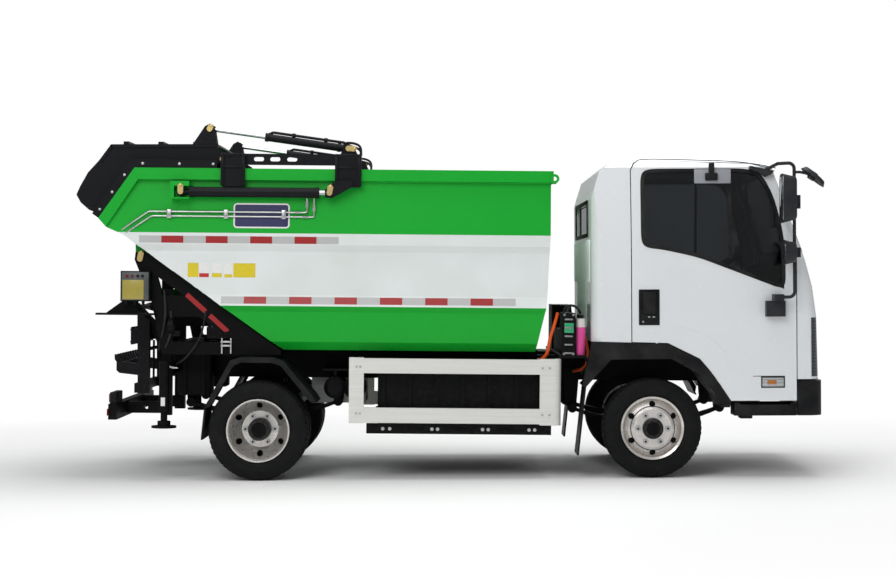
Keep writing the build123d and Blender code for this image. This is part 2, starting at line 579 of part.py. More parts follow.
# Carriage on the rim rails, with the bar between its shoes
with BuildPart() as slide_carriage:
    plate_in = RIM_OUT + RUN
    plate_out = plate_in + SHOE_T
    under = rim_low - 12
    for index, (rear, front) in enumerate(SHOE_X):
        bar([(876, RIM_TOP + RUN), (plate_in, RIM_TOP + RUN), (plate_in, under), (918, under), (918, SHOE_BOTTOM),
             (plate_out, SHOE_BOTTOM), (plate_out, 2262), (940, 2300), (876, 2300)], rear, front)
    block((SHOE_X[0][1], SHOE_X[1][0]), (908, 926), (2221, 2300))
    for x in (-1370, -1255, -1135):
        with BuildSketch(Plane.XZ.offset(-930)) as slot:
            with Locations((x, 2262)):
                SlotOverall(72, 30)
        extrude(slot.sketch, amount=30, mode=Mode.SUBTRACT)
    # ears of the blade's hinge, then of the swing cylinder's base
    ear = [(BLADE_HINGE[0] - 34, BLADE_HINGE[1] - 20), (BLADE_HINGE[0] - 34, BLADE_HINGE[1] + 34),
           (BLADE_HINGE[0] + 60, BLADE_HINGE[1] + 34), (BLADE_HINGE[0] + 60, BLADE_HINGE[1] - 60)]
    slab(ear, 876, 896)
    pin(BLADE_HINGE, (852, 905), 20)
    base_ear = [(SWING_BASE[0] - 60, 2290), (SWING_BASE[0] - 34, SWING_BASE[1] + 20), (SWING_BASE[0], SWING_BASE[1] + 34),
                (SWING_BASE[0] + 34, SWING_BASE[1] + 20), (SWING_BASE[0] + 87, 2260), (SWING_BASE[0] + 87, 2200)]
    base_ear += [(SWING_BASE[0] - 60, 2200)]
    for low, high in ((SWING_Y - 46, SWING_Y - 33), (SWING_Y + 33, SWING_Y + 46)):
        slab(base_ear, low, high)
    block((SWING_BASE[0] - 60, SWING_BASE[0] + 87), (SWING_Y - 46, 880), (2200, 2290))
    pin(SWING_BASE, (SWING_Y - 50, SWING_Y + 50), 18)
    # lug that the slide cylinder's rod pulls
    slab([(-700, 2112), (-819, 2112), (SLIDE_EYE_X - 34, SLIDE_Z + 20), (SLIDE_EYE_X - 30, SLIDE_Z - 34),
          (SLIDE_EYE_X + 20, SLIDE_Z - 38), (-700, 2070)], *SLIDE_LUG_Y)
    block((-819, -700), (plate_in, SLIDE_LUG_Y[1]), (2070, 2112))
    mirror(about=Plane.XZ)
    # cross tube that ties the two sides, over the open tub
    block((SHOE_X[1][0] + 30, SHOE_X[1][0] + 90), (-800, 800), (2215, 2275))
keep(slide_carriage, "slide_carriage", raked=True)

with BuildPart() as slide_cylinder_rods:
    post((SLIDE_EYE_X - SLIDE_STROKE - 120, SLIDE_Y, SLIDE_Z), (SLIDE_EYE_X - 20, SLIDE_Y, SLIDE_Z), SLIDE_ROD_R)
    pin((SLIDE_EYE_X, SLIDE_Z), (SLIDE_Y - 18, SLIDE_LUG_Y[0] - SEAT), 27)
    mirror(about=Plane.XZ)
keep(slide_cylinder_rods, "slide_cylinder_rods", raked=True)

# Blade: bent plate with side cheeks, lugs above and hinge ears in front
BLADE_LINE = [(-1668, BLADE_TOP), (-2428, BLADE_TOP - 8), (-2513, 2245), (-2590, 2160), (-2645, 2060), (BLADE_TAIL_X, BLADE_TAIL_Z),
              (-2639, 1946), (-2580, 1895), (-2508, 1866)]
with BuildPart() as pusher_blade:
    inner_line = [(-1668, BLADE_TOP - 14), (-2420, BLADE_TOP - 22), (-2501, 2238), (-2579, 2152), (-2632, 2055),
                  (BLADE_TAIL_X + 15, BLADE_TAIL_Z - 1), (-2628, 1954), (-2574, 1907), (-2504, 1879)]
    slab(BLADE_LINE + inner_line[::-1], -BLADE_HALF_W, BLADE_HALF_W)
    cheek = BLADE_LINE + [(-2290, 2150), (-1668, 2230)]
    hinge_ear = [(-1668, BLADE_TOP - 30), (BLADE_HINGE[0] + 10, BLADE_HINGE[1] + 50), (BLADE_HINGE[0] + 36, BLADE_HINGE[1]),
                 (BLADE_HINGE[0], BLADE_HINGE[1] - 38), (-1668, BLADE_HINGE[1] - 30)]
    lug = [(-1850, BLADE_TOP - 6), (BLADE_LUG[0] - 34, BLADE_LUG[1] + 20), (BLADE_LUG[0], BLADE_LUG[1] + 38),
           (BLADE_LUG[0] + 34, BLADE_LUG[1] + 20), (-1672, BLADE_TOP - 6)]
    for side in (-1, 1):
        slab(cheek, *sorted((side * (BLADE_HALF_W - BLADE_T), side * BLADE_HALF_W)))
        slab(hinge_ear, *sorted((side * (BLADE_HALF_W - BLADE_T), side * BLADE_HALF_W)))
        pin(BLADE_HINGE, (side * (BLADE_HALF_W - 30), side * (BLADE_HALF_W + 20)), 20 + PIN_FIT, mode=Mode.SUBTRACT)
        for low, high in ((SWING_Y - 36, SWING_Y - 24), (SWING_Y + 24, SWING_Y + 36)):
            slab(lug, *sorted((side * low, side * high)))
    # stiffening ribs across the top plate
    for x in (-2350, -2100, -1850):
        block((x - 20, x + 20), (-700, 700), (BLADE_TOP - 12, BLADE_TOP + 26))
keep(pusher_blade, "pusher_blade", raked=True)


def cylinder_pair(base, eye, barrel_length, rod_length, across, barrel_r, rod_r, eye_r, base_bore):
    """Barrels and rods of a pair of cylinders, drawn between two side view points."""
    gland = along_line(base, eye, barrel_length)
    tip = along_line(eye, base, rod_length)
    neck = along_line(base, eye, barrel_length - 24)
    floor = along_line(base, eye, eye_r + 20)
    at = lambda place: (place[0], across, place[1])
    with BuildPart() as barrels:
        post(at(base), at(gland), barrel_r)
        pin(base, (across - 22, across + 22), base_bore + 14)
        post(at(floor), at(neck), barrel_r - 7, Mode.SUBTRACT)
        post(at(neck), at(along_line(base, eye, barrel_length + 2)), rod_r + PIN_FIT, Mode.SUBTRACT)
        pin(base, (across - 60, across + 60), base_bore + PIN_FIT, mode=Mode.SUBTRACT)
        mirror(about=Plane.XZ)
    with BuildPart() as rods:
        post(at(tip), at(eye), rod_r)
        pin(eye, (across - 20, across + 20), eye_r)
        mirror(about=Plane.XZ)
    return barrels, rods


swing_barrels, swing_rods = cylinder_pair(SWING_BASE, BLADE_LUG, SWING_BARREL, SWING_ROD, SWING_Y,
                                          SWING_BARREL_R, SWING_ROD_R, 24, 18)
keep(swing_barrels, "swing_cylinder_barrels", raked=True)
keep(swing_rods, "swing_cylinder_rods", raked=True)

lift_barrels, lift_rods = cylinder_pair(LIFT_BASE, LIFT_EYE, LIFT_BARREL, LIFT_ROD, LIFT_Y,
                                        LIFT_BARREL_R, LIFT_ROD_R, 30, 25)
keep(lift_barrels, "lift_cylinder_barrels", raked=True)
keep(lift_rods, "lift_cylinder_rods", raked=True)

# Bin lifter: a slide on the mast, and the comb frame that tips at its top
with BuildPart() as lifter_slide:
    shoe_y = (MAST_Y[1] + RUN, MAST_Y[1] + 14)
    block((MAST_X[0] - 14, MAST_X[0] - RUN), (MAST_Y[0] - 10, shoe_y[1]), (905, 1060))
    block((MAST_X[0] - 14, MAST_X[1] - 10), shoe_y, (905, 1060))
    arm = [(MAST_X[0] - 14, 905), (MAST_X[0] - 14, 1060), (LIFTER_PIVOT[0] + 20, LIFTER_PIVOT[1] + 34),
           (LIFTER_PIVOT[0] - 30, LIFTER_PIVOT[1] + 20), (LIFTER_PIVOT[0] - 30, LIFTER_PIVOT[1] - 24),
           (LIFTER_PIVOT[0] + 30, LIFTER_PIVOT[1] - 40)]
    slab(arm, MAST_Y[0], MAST_Y[0] + 40)
    pin(LIFTER_PIVOT, (MAST_Y[0] - 20, MAST_Y[0] + 60), LIFTER_SHAFT_R + PIN_FIT, mode=Mode.SUBTRACT)
    mirror(about=Plane.XZ)
    block((MAST_X[0] - 22, MAST_X[0] - 6), (-MAST_Y[0], MAST_Y[0]), (930, 1030))
keep(lifter_slide, "lifter_slide", raked=True)

COLUMN_Y = (400.0, 460.0)
COMB_TEETH = 9
with BuildPart() as lifter_frame:
    slab([(-2295, 568), (-2212, 568), (-2212, 1100), (-2290, 1170), (LIFTER_PIVOT[0] + 30, LIFTER_PIVOT[1] + 25),
          (LIFTER_PIVOT[0] - 30, LIFTER_PIVOT[1] + 25), (LIFTER_PIVOT[0] - 30, LIFTER_PIVOT[1] - 25), (-2302, 1140)],
         *COLUMN_Y)
    pin(LIFTER_PIVOT, (0, COLUMN_Y[1] + 20), LIFTER_SHAFT_R)
    block((-2349, -2335), (0, COLUMN_Y[1]), (924, 1053))
    block((-2335, -2290), COLUMN_Y, (935, 1042))
    slab([(-2295, 700), (-2295, 780), (-2420, 800), (-2452, 800), (-2452, 735), (-2430, 715)], COLUMN_Y[0], COLUMN_Y[1])
    block((-2452, -2400), (0, COLUMN_Y[1]), (738, 796))
    block((-2320, -2290), (0, COLUMN_Y[1]), (570, 640))
    for index in range(COMB_TEETH // 2 + 1):
        y = index * 105.0
        slab([(-2452, 790), (-2410, 790), (-2430, 812), (-2446, 850), (-2472, 850), (-2470, 812)],
             max(y - 12, 0), y + 12)
    mirror(about=Plane.XZ)
keep(lifter_frame, "lifter_frame", raked=True)


# Cab: closed forms from the front, side and back views, one inside the other, cut along the panels
def front_plan(foremost_x, rear_x, inset):
    """The front's bowed plan with rounded corners, drawn in by `inset` and closed off at rear_x."""
    radius = FRONT_CORNER_R - inset
    knee = (foremost_x - FRONT_BOW - inset, FRONT_HALF_W - FRONT_CORNER_R)
    bend = (knee[0] - radius * (1 - cos(radians(45))), knee[1] + radius * sin(radians(45)))
    corner = (knee[0] - radius, FRONT_HALF_W - inset)
    with BuildSketch() as plan:
        with BuildLine():
            ThreePointArc((knee[0], -knee[1]), (foremost_x - inset, 0), knee)
            for side in (-1, 1):
                flip = lambda point: (point[0], side * point[1])
                ThreePointArc(flip(knee), flip(bend), flip(corner))
                Line(flip(corner), (rear_x, side * corner[1]))
            Line((rear_x, -corner[1]), (rear_x, corner[1]))
        make_face()
    return plan.sketch


def front_form(inset, line=FRONT_LINE):
    """The cab's front, bowed in plan, as upright and leaning lengths that share their outlines."""
    with BuildPart() as bow:
        for (low_x, low_z), (high_x, high_z) in zip(line, line[1:]):
            lean = Vector(high_x - low_x, 0, high_z - low_z)
            with BuildSketch(Plane.XY.offset(low_z)):
                add(front_plan(low_x, 500, inset))
            extrude(amount=lean.length, dir=lean)
    return bow.part


def section_form(inset):
    """The cab's cross-section along its whole length: upright sides that lean in above the belt."""
    half, gutter_y, crown_y, crown_z = CAB_HALF_W - inset, ROOF_HALF_W - inset, 690 - inset, 2330 - inset
    with BuildPart() as tunnel:
        with BuildSketch(Plane.YZ.offset(CAB_REAR - 100)):
            with BuildLine():
                for side in (-1, 1):
                    hip, gutter = (side * half, CAB_HINGE_LINE), (side * gutter_y, ROOF_SIDE_Z)
                    Line((side * half, 300), hip)
                    TangentArc(hip, gutter, tangent=(0, 1))
                    Line(gutter, (side * crown_y, crown_z))
                Line((-half, 300), (half, 300))
                Line((-crown_y, crown_z), (crown_y, crown_z))
            make_face()
        extrude(amount=1800)
    return tunnel.part


def cab_form(inset):
    """The cab's closed form, drawn in by a wall thickness."""
    with BuildPart() as form:
        with BuildSketch(Plane.XZ.offset(-1000)):
            with BuildLine():
                Polyline(*CAB_SIDE, close=True)
            make_face()
            if inset:
                offset(amount=-inset, kind=Kind.INTERSECTION)
        extrude(amount=2000)
        with BuildSketch(Plane.XY.offset(200)):
            with BuildLine():
                rear, side_y = CAB_REAR, CAB_HALF_W + 5
                FilletPolyline((3000, side_y), (rear, side_y), (rear, -side_y), (3000, -side_y),
                               radius=REAR_CORNER_R)
                Line((3000, -side_y), (3000, side_y))
            make_face()
            if inset:
                offset(amount=-inset, kind=Kind.INTERSECTION)
        extrude(amount=2300, mode=Mode.INTERSECT)
        add(section_form(inset), mode=Mode.INTERSECT)
        add(front_form(inset), mode=Mode.INTERSECT)
    return form.part


def side_prism(points, grow, low, high, mode):
    """A side view outline grown by a clearance and extruded across, for cuts that must clear."""
    with BuildSketch(Plane.XZ.offset(-high)) as outline:
        with BuildLine():
            Polyline(*points, close=True)
        make_face()
        offset(amount=grow, kind=Kind.INTERSECTION)
    extrude(outline.sketch, amount=high - low, mode=mode)


LOWER_EDGE = [(CAB_REAR - 50, 200), (CAB_REAR - 50, 972)] + ARCH_TOP + [
    (DOOR_FRONT + DOOR_GAP / 2, SILL_Z), (DOOR_FRONT + DOOR_GAP / 2, 700), (2800, 700), (2800, 200)]
with BuildPart() as cab_shell:
    add(cab_form(0))
    add(cab_form(CAB_WALL), mode=Mode.SUBTRACT)
    slab(LOWER_EDGE, -1000, 1000, mode=Mode.SUBTRACT)

DOOR_SPAN = (785.0, 1000.0)  # depth of the door's cut through the cab's side
GLASS_T = 6.0
GLASS_INSET = 14.0
with BuildPart() as door:
    add(cab_shell.part)
    side_prism(DOOR, -DOOR_GAP / 2, *DOOR_SPAN, Mode.INTERSECT)
    slab(DOOR_WINDOW, 600, 1000, mode=Mode.SUBTRACT)
    # the inner panel's pocket and the hinge knuckles on the front edge
    block((1500, 2350), (CAB_HALF_W - CAB_WALL - 1, CAB_HALF_W - 12), (1000, 1250), mode=Mode.SUBTRACT)

with BuildPart() as door_pane:
    add(section_form(GLASS_INSET))
    add(section_form(GLASS_INSET + GLASS_T), mode=Mode.SUBTRACT)
    side_prism(DOOR_WINDOW, -SEAT, 600, 1000, Mode.INTERSECT)

for side, side_name in ((-1, "right"), (1, "left")):
    for piece, kind in ((door, "door"), (door_pane, "door_glass")):
        with BuildPart() as hung:
            add(piece.part if side == 1 else piece.part.mirror(Plane.XZ))
        keep(hung, f"{kind}_{side_name}")

MIRROR_Y = 1045.0
POLE_X, POLE_Y, POLE_R = 2422.0, 985.0, 12.0
POLE_TOP_Z = 2228.0


def mirror_housing(rear_x, depth, middle_z, width, height, corner_r):
    """A mirror's housing: its glass faces back and its domed shell faces forward."""
    with BuildPart() as housing:
        with BuildSketch(Plane.YZ.offset(rear_x)):
            with Locations((MIRROR_Y, middle_z)):
                RectangleRounded(width, height, corner_r)
        extrude(amount=depth, taper=14)
        fillet(housing.faces().sort_by(Axis.X)[-1].edges(), depth / 5)
    return housing.part


with BuildPart() as mirror_head:
    face = CAB_HALF_W + SEAT
    add(mirror_housing(2322, 98, 1975, 180, 346, 60))
    add(mirror_housing(2336, 84, 1597, 172, 176, 80))
    # the pole's foot and top bend back to castings on the door
    with BuildLine(Plane.XZ.offset(-POLE_Y)) as route:
        FilletPolyline((2310, 1283), (POLE_X, 1283), (POLE_X, POLE_TOP_Z), (2300, POLE_TOP_Z - 6), radius=40)
    with BuildSketch(Plane(origin=(2310, POLE_Y, 1283), z_dir=(1, 0, 0))):
        Circle(POLE_R)
    sweep(path=route.wire())
    post((2306, POLE_Y, POLE_TOP_Z - 6), (2240, 870, 2186), POLE_R)
    slab([(2128, 2214), (2300, 2178), (2276, 2152), (2236, 2134), (2180, 2170), (2124, 2192)], 830, 905)
    for low, high in ((1905, 2000), (1562, 1632)):
        block((2404, 2462), (POLE_Y - 18, POLE_Y + 22), (low, high))
    block((2276, 2346), (face, POLE_Y + 15), (1255, 1303))
    block((2228, 2362), (face, face + 62), (1145, 1256))
    add(cab_form(-SEAT), mode=Mode.SUBTRACT)
for side, side_name in ((-1, "right"), (1, "left")):
    with BuildPart() as hung:
        add(mirror_head.part if side == 1 else mirror_head.part.mirror(Plane.XZ))
    keep(hung, f"mirror_{side_name}")

SCREEN = [(-745, 1600), (-700, 2168), (700, 2168), (745, 1600)]
REAR_PANE = ((-550.0, 550.0), (1745.0, 1965.0))
LAMP_X = (2555.0, 2700.0)
LAMP_Y = (560.0, 950.0)
LAMP_Z = (718.0, 1136.0)
with BuildPart() as body_shell:
    add(cab_shell.part)
    for side in (-1, 1):
        side_prism(DOOR, DOOR_GAP / 2, *sorted(side * y for y in DOOR_SPAN), Mode.SUBTRACT)
    bar(SCREEN, 2150, 2700, mode=Mode.SUBTRACT)
    block((CAB_REAR - 50, CAB_REAR + 60), *REAR_PANE, mode=Mode.SUBTRACT)


def panel(x_span, z_span):
    """The part of the cab's shell between two planes each way."""
    with BuildPart() as piece:
        add(body_shell.part)
        block(x_span, (-1000, 1000), z_span, mode=Mode.INTERSECT)
    return piece


below_roof = (200, CAB_SPLIT_Z - SEAT / 2)
keep(panel((900, 2800), (CAB_SPLIT_Z + SEAT / 2, 2400)), "cab_roof")
keep(panel((900, 1600), below_roof), "cab_back")

with BuildPart() as cab_front:
    add(panel((2000, 2800), below_roof).part)
    for side in (-1, 1):
        block(LAMP_X, tuple(side * y for y in LAMP_Y), LAMP_Z, mode=Mode.SUBTRACT)
keep(cab_front, "cab_front")

with BuildPart() as lamps:
    add(cab_shell.part)
    block((LAMP_X[0] + SEAT, LAMP_X[1]), (LAMP_Y[0] + SEAT, LAMP_Y[1]), (LAMP_Z[0] + SEAT, LAMP_Z[1] - SEAT),
          mode=Mode.INTERSECT)
    mirror(about=Plane.XZ)
    add(tail_lamps.part.rotate(Axis((RAKE_PIVOT[0], 0, RAKE_PIVOT[1]), (0, 1, 0)), RAKE))
keep(lamps, "lamps")

with BuildPart() as cab_glass:
    screen_line = FRONT_LINE[-2:]
    add(front_form(GLASS_INSET, screen_line))
    add(front_form(GLASS_INSET + GLASS_T, screen_line), mode=Mode.SUBTRACT)
    with BuildSketch(Plane.YZ.offset(2150)):
        with BuildLine():
            Polyline(*SCREEN, close=True)
        make_face()
        offset(amount=-SEAT, kind=Kind.INTERSECTION)
    extrude(amount=550, mode=Mode.INTERSECT)
    (left, right), (low, high) = REAR_PANE
    block((CAB_REAR + 16, CAB_REAR + 16 + GLASS_T), (left + SEAT, right - SEAT), (low + SEAT, high - SEAT))
keep(cab_glass, "cab_glass")

# Inside the cab: floor, dashboard, seats, steering wheel
inside = cab_form(CAB_WALL + SEAT)
SIDE_CLEAR = 850.0
with BuildPart() as cab_floor:
    top = PLATFORM_Z + FLOOR_PANEL_T
    foot_top = FOOT_FLOOR_Z + FLOOR_PANEL_T
    slab([(900, PLATFORM_Z), (PLATFORM_EDGE_X, PLATFORM_Z), (PLATFORM_EDGE_X, FOOT_FLOOR_Z), (2700, FOOT_FLOOR_Z),
          (2700, foot_top), (PLATFORM_EDGE_X + 30, foot_top), (PLATFORM_EDGE_X + 30, top), (900, top)], -1000, 1000)
    add(inside, mode=Mode.INTERSECT)
    for side in (-1, 1):
        block((DOOR_REAR - 10, DOOR_FRONT + 10), (side * SIDE_CLEAR, side * 1000), (500, 1200), mode=Mode.SUBTRACT)
    # mounts that hang on the frame rails' outer faces
    for x_span, low, high in (((1060, 1140), 770, PLATFORM_Z), ((2040, 2120), 690, FOOT_FLOOR_Z)):
        for side in (-1, 1):
            block(x_span, (side * (RAIL_Y + SEAT), side * (RAIL_Y + 70)), (low, high))
keep(cab_floor, "cab_floor")

DASH_HALF_W = 775.0  # the doors' front edges swing past its ends
with BuildPart() as dashboard:
    with BuildSketch(Plane.XZ.offset(-1000)):
        with BuildLine():
            Polyline((2700, 1540), (2420, 1520), (2300, 1470), (2232, 1380), (2232, 1250), (2480, 1180), (2700, 1180),
                     close=True)
        make_face()
    extrude(amount=2000)
    add(inside, mode=Mode.INTERSECT)
    for side in (-1, 1):
        block((2000, DOOR_FRONT + 12), (side * DASH_HALF_W, side * 1000), (1000, 1700), mode=Mode.SUBTRACT)
keep(dashboard, "dashboard")

DRIVER_Y = 430.0
SEAT_BASE_Z = PLATFORM_Z + FLOOR_PANEL_T + SEAT
with BuildPart() as seats:
    for y, width in ((DRIVER_Y, 500), (-DRIVER_Y, 500)):
        span = (y - width / 2, y + width / 2)
        with BuildSketch(Plane.XZ.offset(-span[1])) as seat_side:
            with BuildLine():
                FilletPolyline((1200, SEAT_BASE_Z + 160), (1200, 1330), (1120, 1820), (1210, 1850), (1300, 1360),
                               (1420, SEAT_BASE_Z + 290), (1760, SEAT_BASE_Z + 310), (1770, SEAT_BASE_Z + 160),
                               radius=22)
                Line((1770, SEAT_BASE_Z + 160), (1200, SEAT_BASE_Z + 160))
            make_face()
        extrude(seat_side.sketch, amount=width)
        block((1280, 1720), (span[0] + 60, span[1] - 60), (SEAT_BASE_Z, SEAT_BASE_Z + 160))
keep(seats, "seats")

WHEEL_CENTRE = (2100.0, DRIVER_Y, 1500.0)
STEERING_R = 215.0
with BuildPart() as steering_wheel:
    up = Vector(-0.62, 0, 1).normalized()
    hub_plane = Plane(origin=WHEEL_CENTRE, x_dir=(0, 1, 0), z_dir=up)
    with BuildSketch(Plane(origin=WHEEL_CENTRE, x_dir=(0, 1, 0), z_dir=(up.Z, 0, -up.X))) as grip:
        with Locations((STEERING_R, 0)):
            Circle(14)
    revolve(grip.sketch, axis=Axis(WHEEL_CENTRE, up))
    with BuildSketch(hub_plane.offset(-12)) as spokes:
        Circle(62)
        for turn in (0, 180, 270):
            with PolarLocations(STEERING_R / 2, 1, start_angle=turn):
                Rectangle(STEERING_R - 10, 34)
    extrude(spokes.sketch, amount=18)
    post(WHEEL_CENTRE, tuple(Vector(*WHEEL_CENTRE) - up * 270), 24)
    add(dashboard.part, mode=Mode.SUBTRACT)
keep(steering_wheel, "steering_wheel")

# Bumper, steps, wheel arches, front flaps
BUMPER_T = 45.0
with BuildPart() as bumper:
    for inset, mode in ((0, Mode.ADD), (BUMPER_T, Mode.SUBTRACT)):
        with BuildSketch(Plane.XY.offset(BUMPER_BOTTOM - (1 if inset else 0))) as bumper_plan:
            add(front_plan(HALF_LENGTH, 2400, inset))
        extrude(bumper_plan.sketch, amount=BUMPER_TOP - BUMPER_BOTTOM + (2 if inset else 0), mode=mode)
    block((2300, 2456), (-1000, 1000), (400, 700), mode=Mode.SUBTRACT)
    for side in (-1, 1):
        block((2310, HALF_LENGTH - BUMPER_T + 5), (side * (RAIL_Y + SEAT), side * (RAIL_Y + 36)), (590, 688))
keep(bumper, "bumper")

STEP_X, STEP_Z = (2011.0, 2449.0), (442.0, 531.0)
with BuildPart() as cab_steps:
    block(STEP_X, (700, 895), STEP_Z)
    block((STEP_X[0] + 40, STEP_X[1] - 40), (760, 900), (STEP_Z[0] + 30, STEP_Z[1] + 1), mode=Mode.SUBTRACT)
    block((2140, 2280), (RAIL_Y + SEAT + 20, 700), (STEP_Z[0] + 10, STEP_Z[0] + 40))
    block((2140, 2280), (RAIL_Y + SEAT, RAIL_Y + SEAT + 20), (STEP_Z[0] + 10, 740))
    mirror(about=Plane.XZ)
keep(cab_steps, "cab_steps")

FLARE_LOW = [(958, 653), (1135, 845), (1566, 847), (1750, 749), (1877, 594), (1920, 502)]
FLARE_T = 12.0
with BuildPart() as cab_flares:
    edge = [(x, z - 2.5) for x, z in ARCH_TOP]
    slab(FLARE_LOW + [(1975, 502)] + edge[::-1] + [(1000, 969.5), (940, 700), (930, 653)], 845, 905)
    inner = [(940, 653), (1129, 857), (1569, 859), (1758, 757), (1888, 600), (1932, 502)]
    slab(FLARE_LOW + inner[::-1], 470, 850)
    block((1260, 1320), (620, 680), (851, PLATFORM_Z - SEAT))
    # mud flap behind the wheel, hung from the arch's tail
    slab([(949, 660), (961, 660), (905, 165), (893, 165)], 600, 880)
    mirror(about=Plane.XZ)
keep(cab_flares, "cab_flares")

KERB_MIRROR = (2550.0, -POLE_Y, 2122.0)
with BuildPart() as kerb_mirror:
    arm_start = POLE_X + POLE_R + SEAT
    post((arm_start, -POLE_Y, POLE_TOP_Z - 66), (2470, -POLE_Y, POLE_TOP_Z - 66), 10)
    post((2466, -POLE_Y, POLE_TOP_Z - 66), (2540, -POLE_Y, 2145), 10)
    post((2535, -POLE_Y, 2112), (2566, -POLE_Y, 2158), 28)
    with BuildSketch(Plane(origin=KERB_MIRROR, x_dir=(0, 1, 0), z_dir=(1, 0, 1.15))):
        Ellipse(75, 103)
    extrude(amount=30, taper=30)
keep(kerb_mirror, "kerb_mirror")
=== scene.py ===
"""Looks of a battery electric self-loading garbage truck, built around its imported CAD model.

Pieces are modelled in millimetres with bmesh operators, in the same frame as the CAD part, and scaled to
metres when they are finished. +X points forward, +Y to the vehicle's left and +Z up. The frame, tub and
lifter are drawn level and tipped nose down by RAKE, as the part's own source does.
"""

from functools import partial
from math import atan2, cos, dist, hypot, pi, radians, sin, sqrt

import bmesh
import bpy
from bpy.props import FloatProperty, FloatVectorProperty, IntProperty, PointerProperty
from mathutils import Matrix, Vector


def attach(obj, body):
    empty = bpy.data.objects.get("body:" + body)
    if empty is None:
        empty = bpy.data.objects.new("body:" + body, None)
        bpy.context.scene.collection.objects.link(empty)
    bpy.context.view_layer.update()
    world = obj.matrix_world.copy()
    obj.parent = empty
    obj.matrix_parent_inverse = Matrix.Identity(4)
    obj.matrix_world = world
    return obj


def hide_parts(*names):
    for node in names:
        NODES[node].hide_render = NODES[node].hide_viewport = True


bl_info = {
    "name": "Self-loading garbage truck",
    "version": (1, 0, 0),
    "blender": (4, 5, 0),
    "location": "3D View > Sidebar > Truck",
    "description": "Finishes and fittings of a small battery electric garbage truck",
    "category": "Object",
}

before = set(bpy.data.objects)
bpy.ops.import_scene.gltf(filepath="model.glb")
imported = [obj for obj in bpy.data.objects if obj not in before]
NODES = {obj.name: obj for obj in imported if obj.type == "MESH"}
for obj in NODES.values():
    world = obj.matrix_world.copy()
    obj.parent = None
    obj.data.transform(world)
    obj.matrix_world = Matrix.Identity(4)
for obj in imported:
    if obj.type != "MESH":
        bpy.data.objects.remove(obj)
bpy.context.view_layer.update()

MM = 0.001
RAKE = radians(0.8)
RAKE_PIVOT = (-300.0, 900.0)
SIDES = {"right": -1, "left": 1}
# bodies that are drawn level and tipped by RAKE
TIPPED = ("tub", "carriage", "blade", "swing_rods", "swing_barrels", "lift_rods", "lifter", "comb")

# Wheels, as in the part's source
TYRE_R = 354.0
FRONT_AXLE_X, REAR_AXLE_X = 1430.0, -1370.0
FRONT_WHEEL_Y, DUAL_MOUNT_Y, DISC_OFFSET = 780.0, 735.0, 105.0
FRONT_MOUNT_Y = FRONT_WHEEL_Y + DISC_OFFSET
NUT_CIRCLE_R, DRUM_R = 106.0, 158.0

# Tub, drawn level: half width of its outside at each height
TUB_SECTION = [(2194, 900), (1748, 925), (1657, 925), (1610, 890), (1302, 890), (1224, 922), (1182, 890),
               (970, 850), (910, 780)]
WHITE_BAND = (1224.0, 1738.0)
TUB_HINGE = (-2222.0, 1550.0)
RIM_OUT = 945.0

# Pusher and its cylinders, drawn level
BLADE_HINGE, BLADE_LUG = (-1628.0, 2262.0), (-1727.0, 2477.0)
SWING_BASE, SWING_Y = (-740.0, 2345.0), 835.0
SHOE_X = [(-1625.0, -1473.0), (-819.0, -653.0)]
SHOE_FACE_Y = 961.8
SLIDE_Z, SLIDE_Y, SLIDE_BASE_X, SLIDE_EYE_X = 2025.0, 957.0, -1912.0, -865.0

# Cab
CAB_HALF_W, CAB_HINGE_LINE, ROOF_HALF_W, ROOF_SIDE_Z = 900.0, 1400.0, 842.0, 2210.0
DOOR_WINDOW = [(1361, 1690), (1396, 1645), (1517, 1632), (1764, 1576), (2365, 1339), (2365, 1608),
               (2344, 1784), (2287, 1996), (2202, 2160), (2082, 2190), (1410, 2190), (1361, 2150)]
FRONT_LINE = [(2632, 300), (2632, 700), (2622, 1142), (2594, 1354), (2544, 1545), (2270, 2319)]
FRONT_BOW, FRONT_CORNER_R, FRONT_HALF_W = 15.0, 100.0, 905.0
POLE_Y, MIRROR_Y = 985.0, 1045.0
CAB_BACK_X = (993, 1006)

# Frame: the springs' outer and inner edges, the box's face, the guards' faces and the comb's back
SPRING_EDGES_Y = (-382, -432)
CONTROL_FACE_Y = -911
GUARD_FACE_Y, BEAM_FACE_Y = -930, -868
COMB_BACK_X = -2349


def linear(code):
    """An sRGB hex colour as linear RGBA."""
    channels = [int(code[i:i + 2], 16) / 255 for i in (1, 3, 5)]
    return tuple(c / 12.92 if c <= 0.04045 else ((c + 0.055) / 1.055) ** 2.4 for c in channels) + (1.0,)


def colour_prop(label, about, code):
    """A colour that a user may change, from its sRGB hex value."""
    return FloatVectorProperty(name=label, description=about, subtype="COLOR", size=4, min=0.0, max=1.0,
                               default=linear(code))


def size_prop(label, about, value):
    """A length in metres that a user may change, from its value in millimetres."""
    return FloatProperty(name=label, description=about, subtype="DISTANCE", unit="LENGTH", min=0.0,
                         default=value * MM)


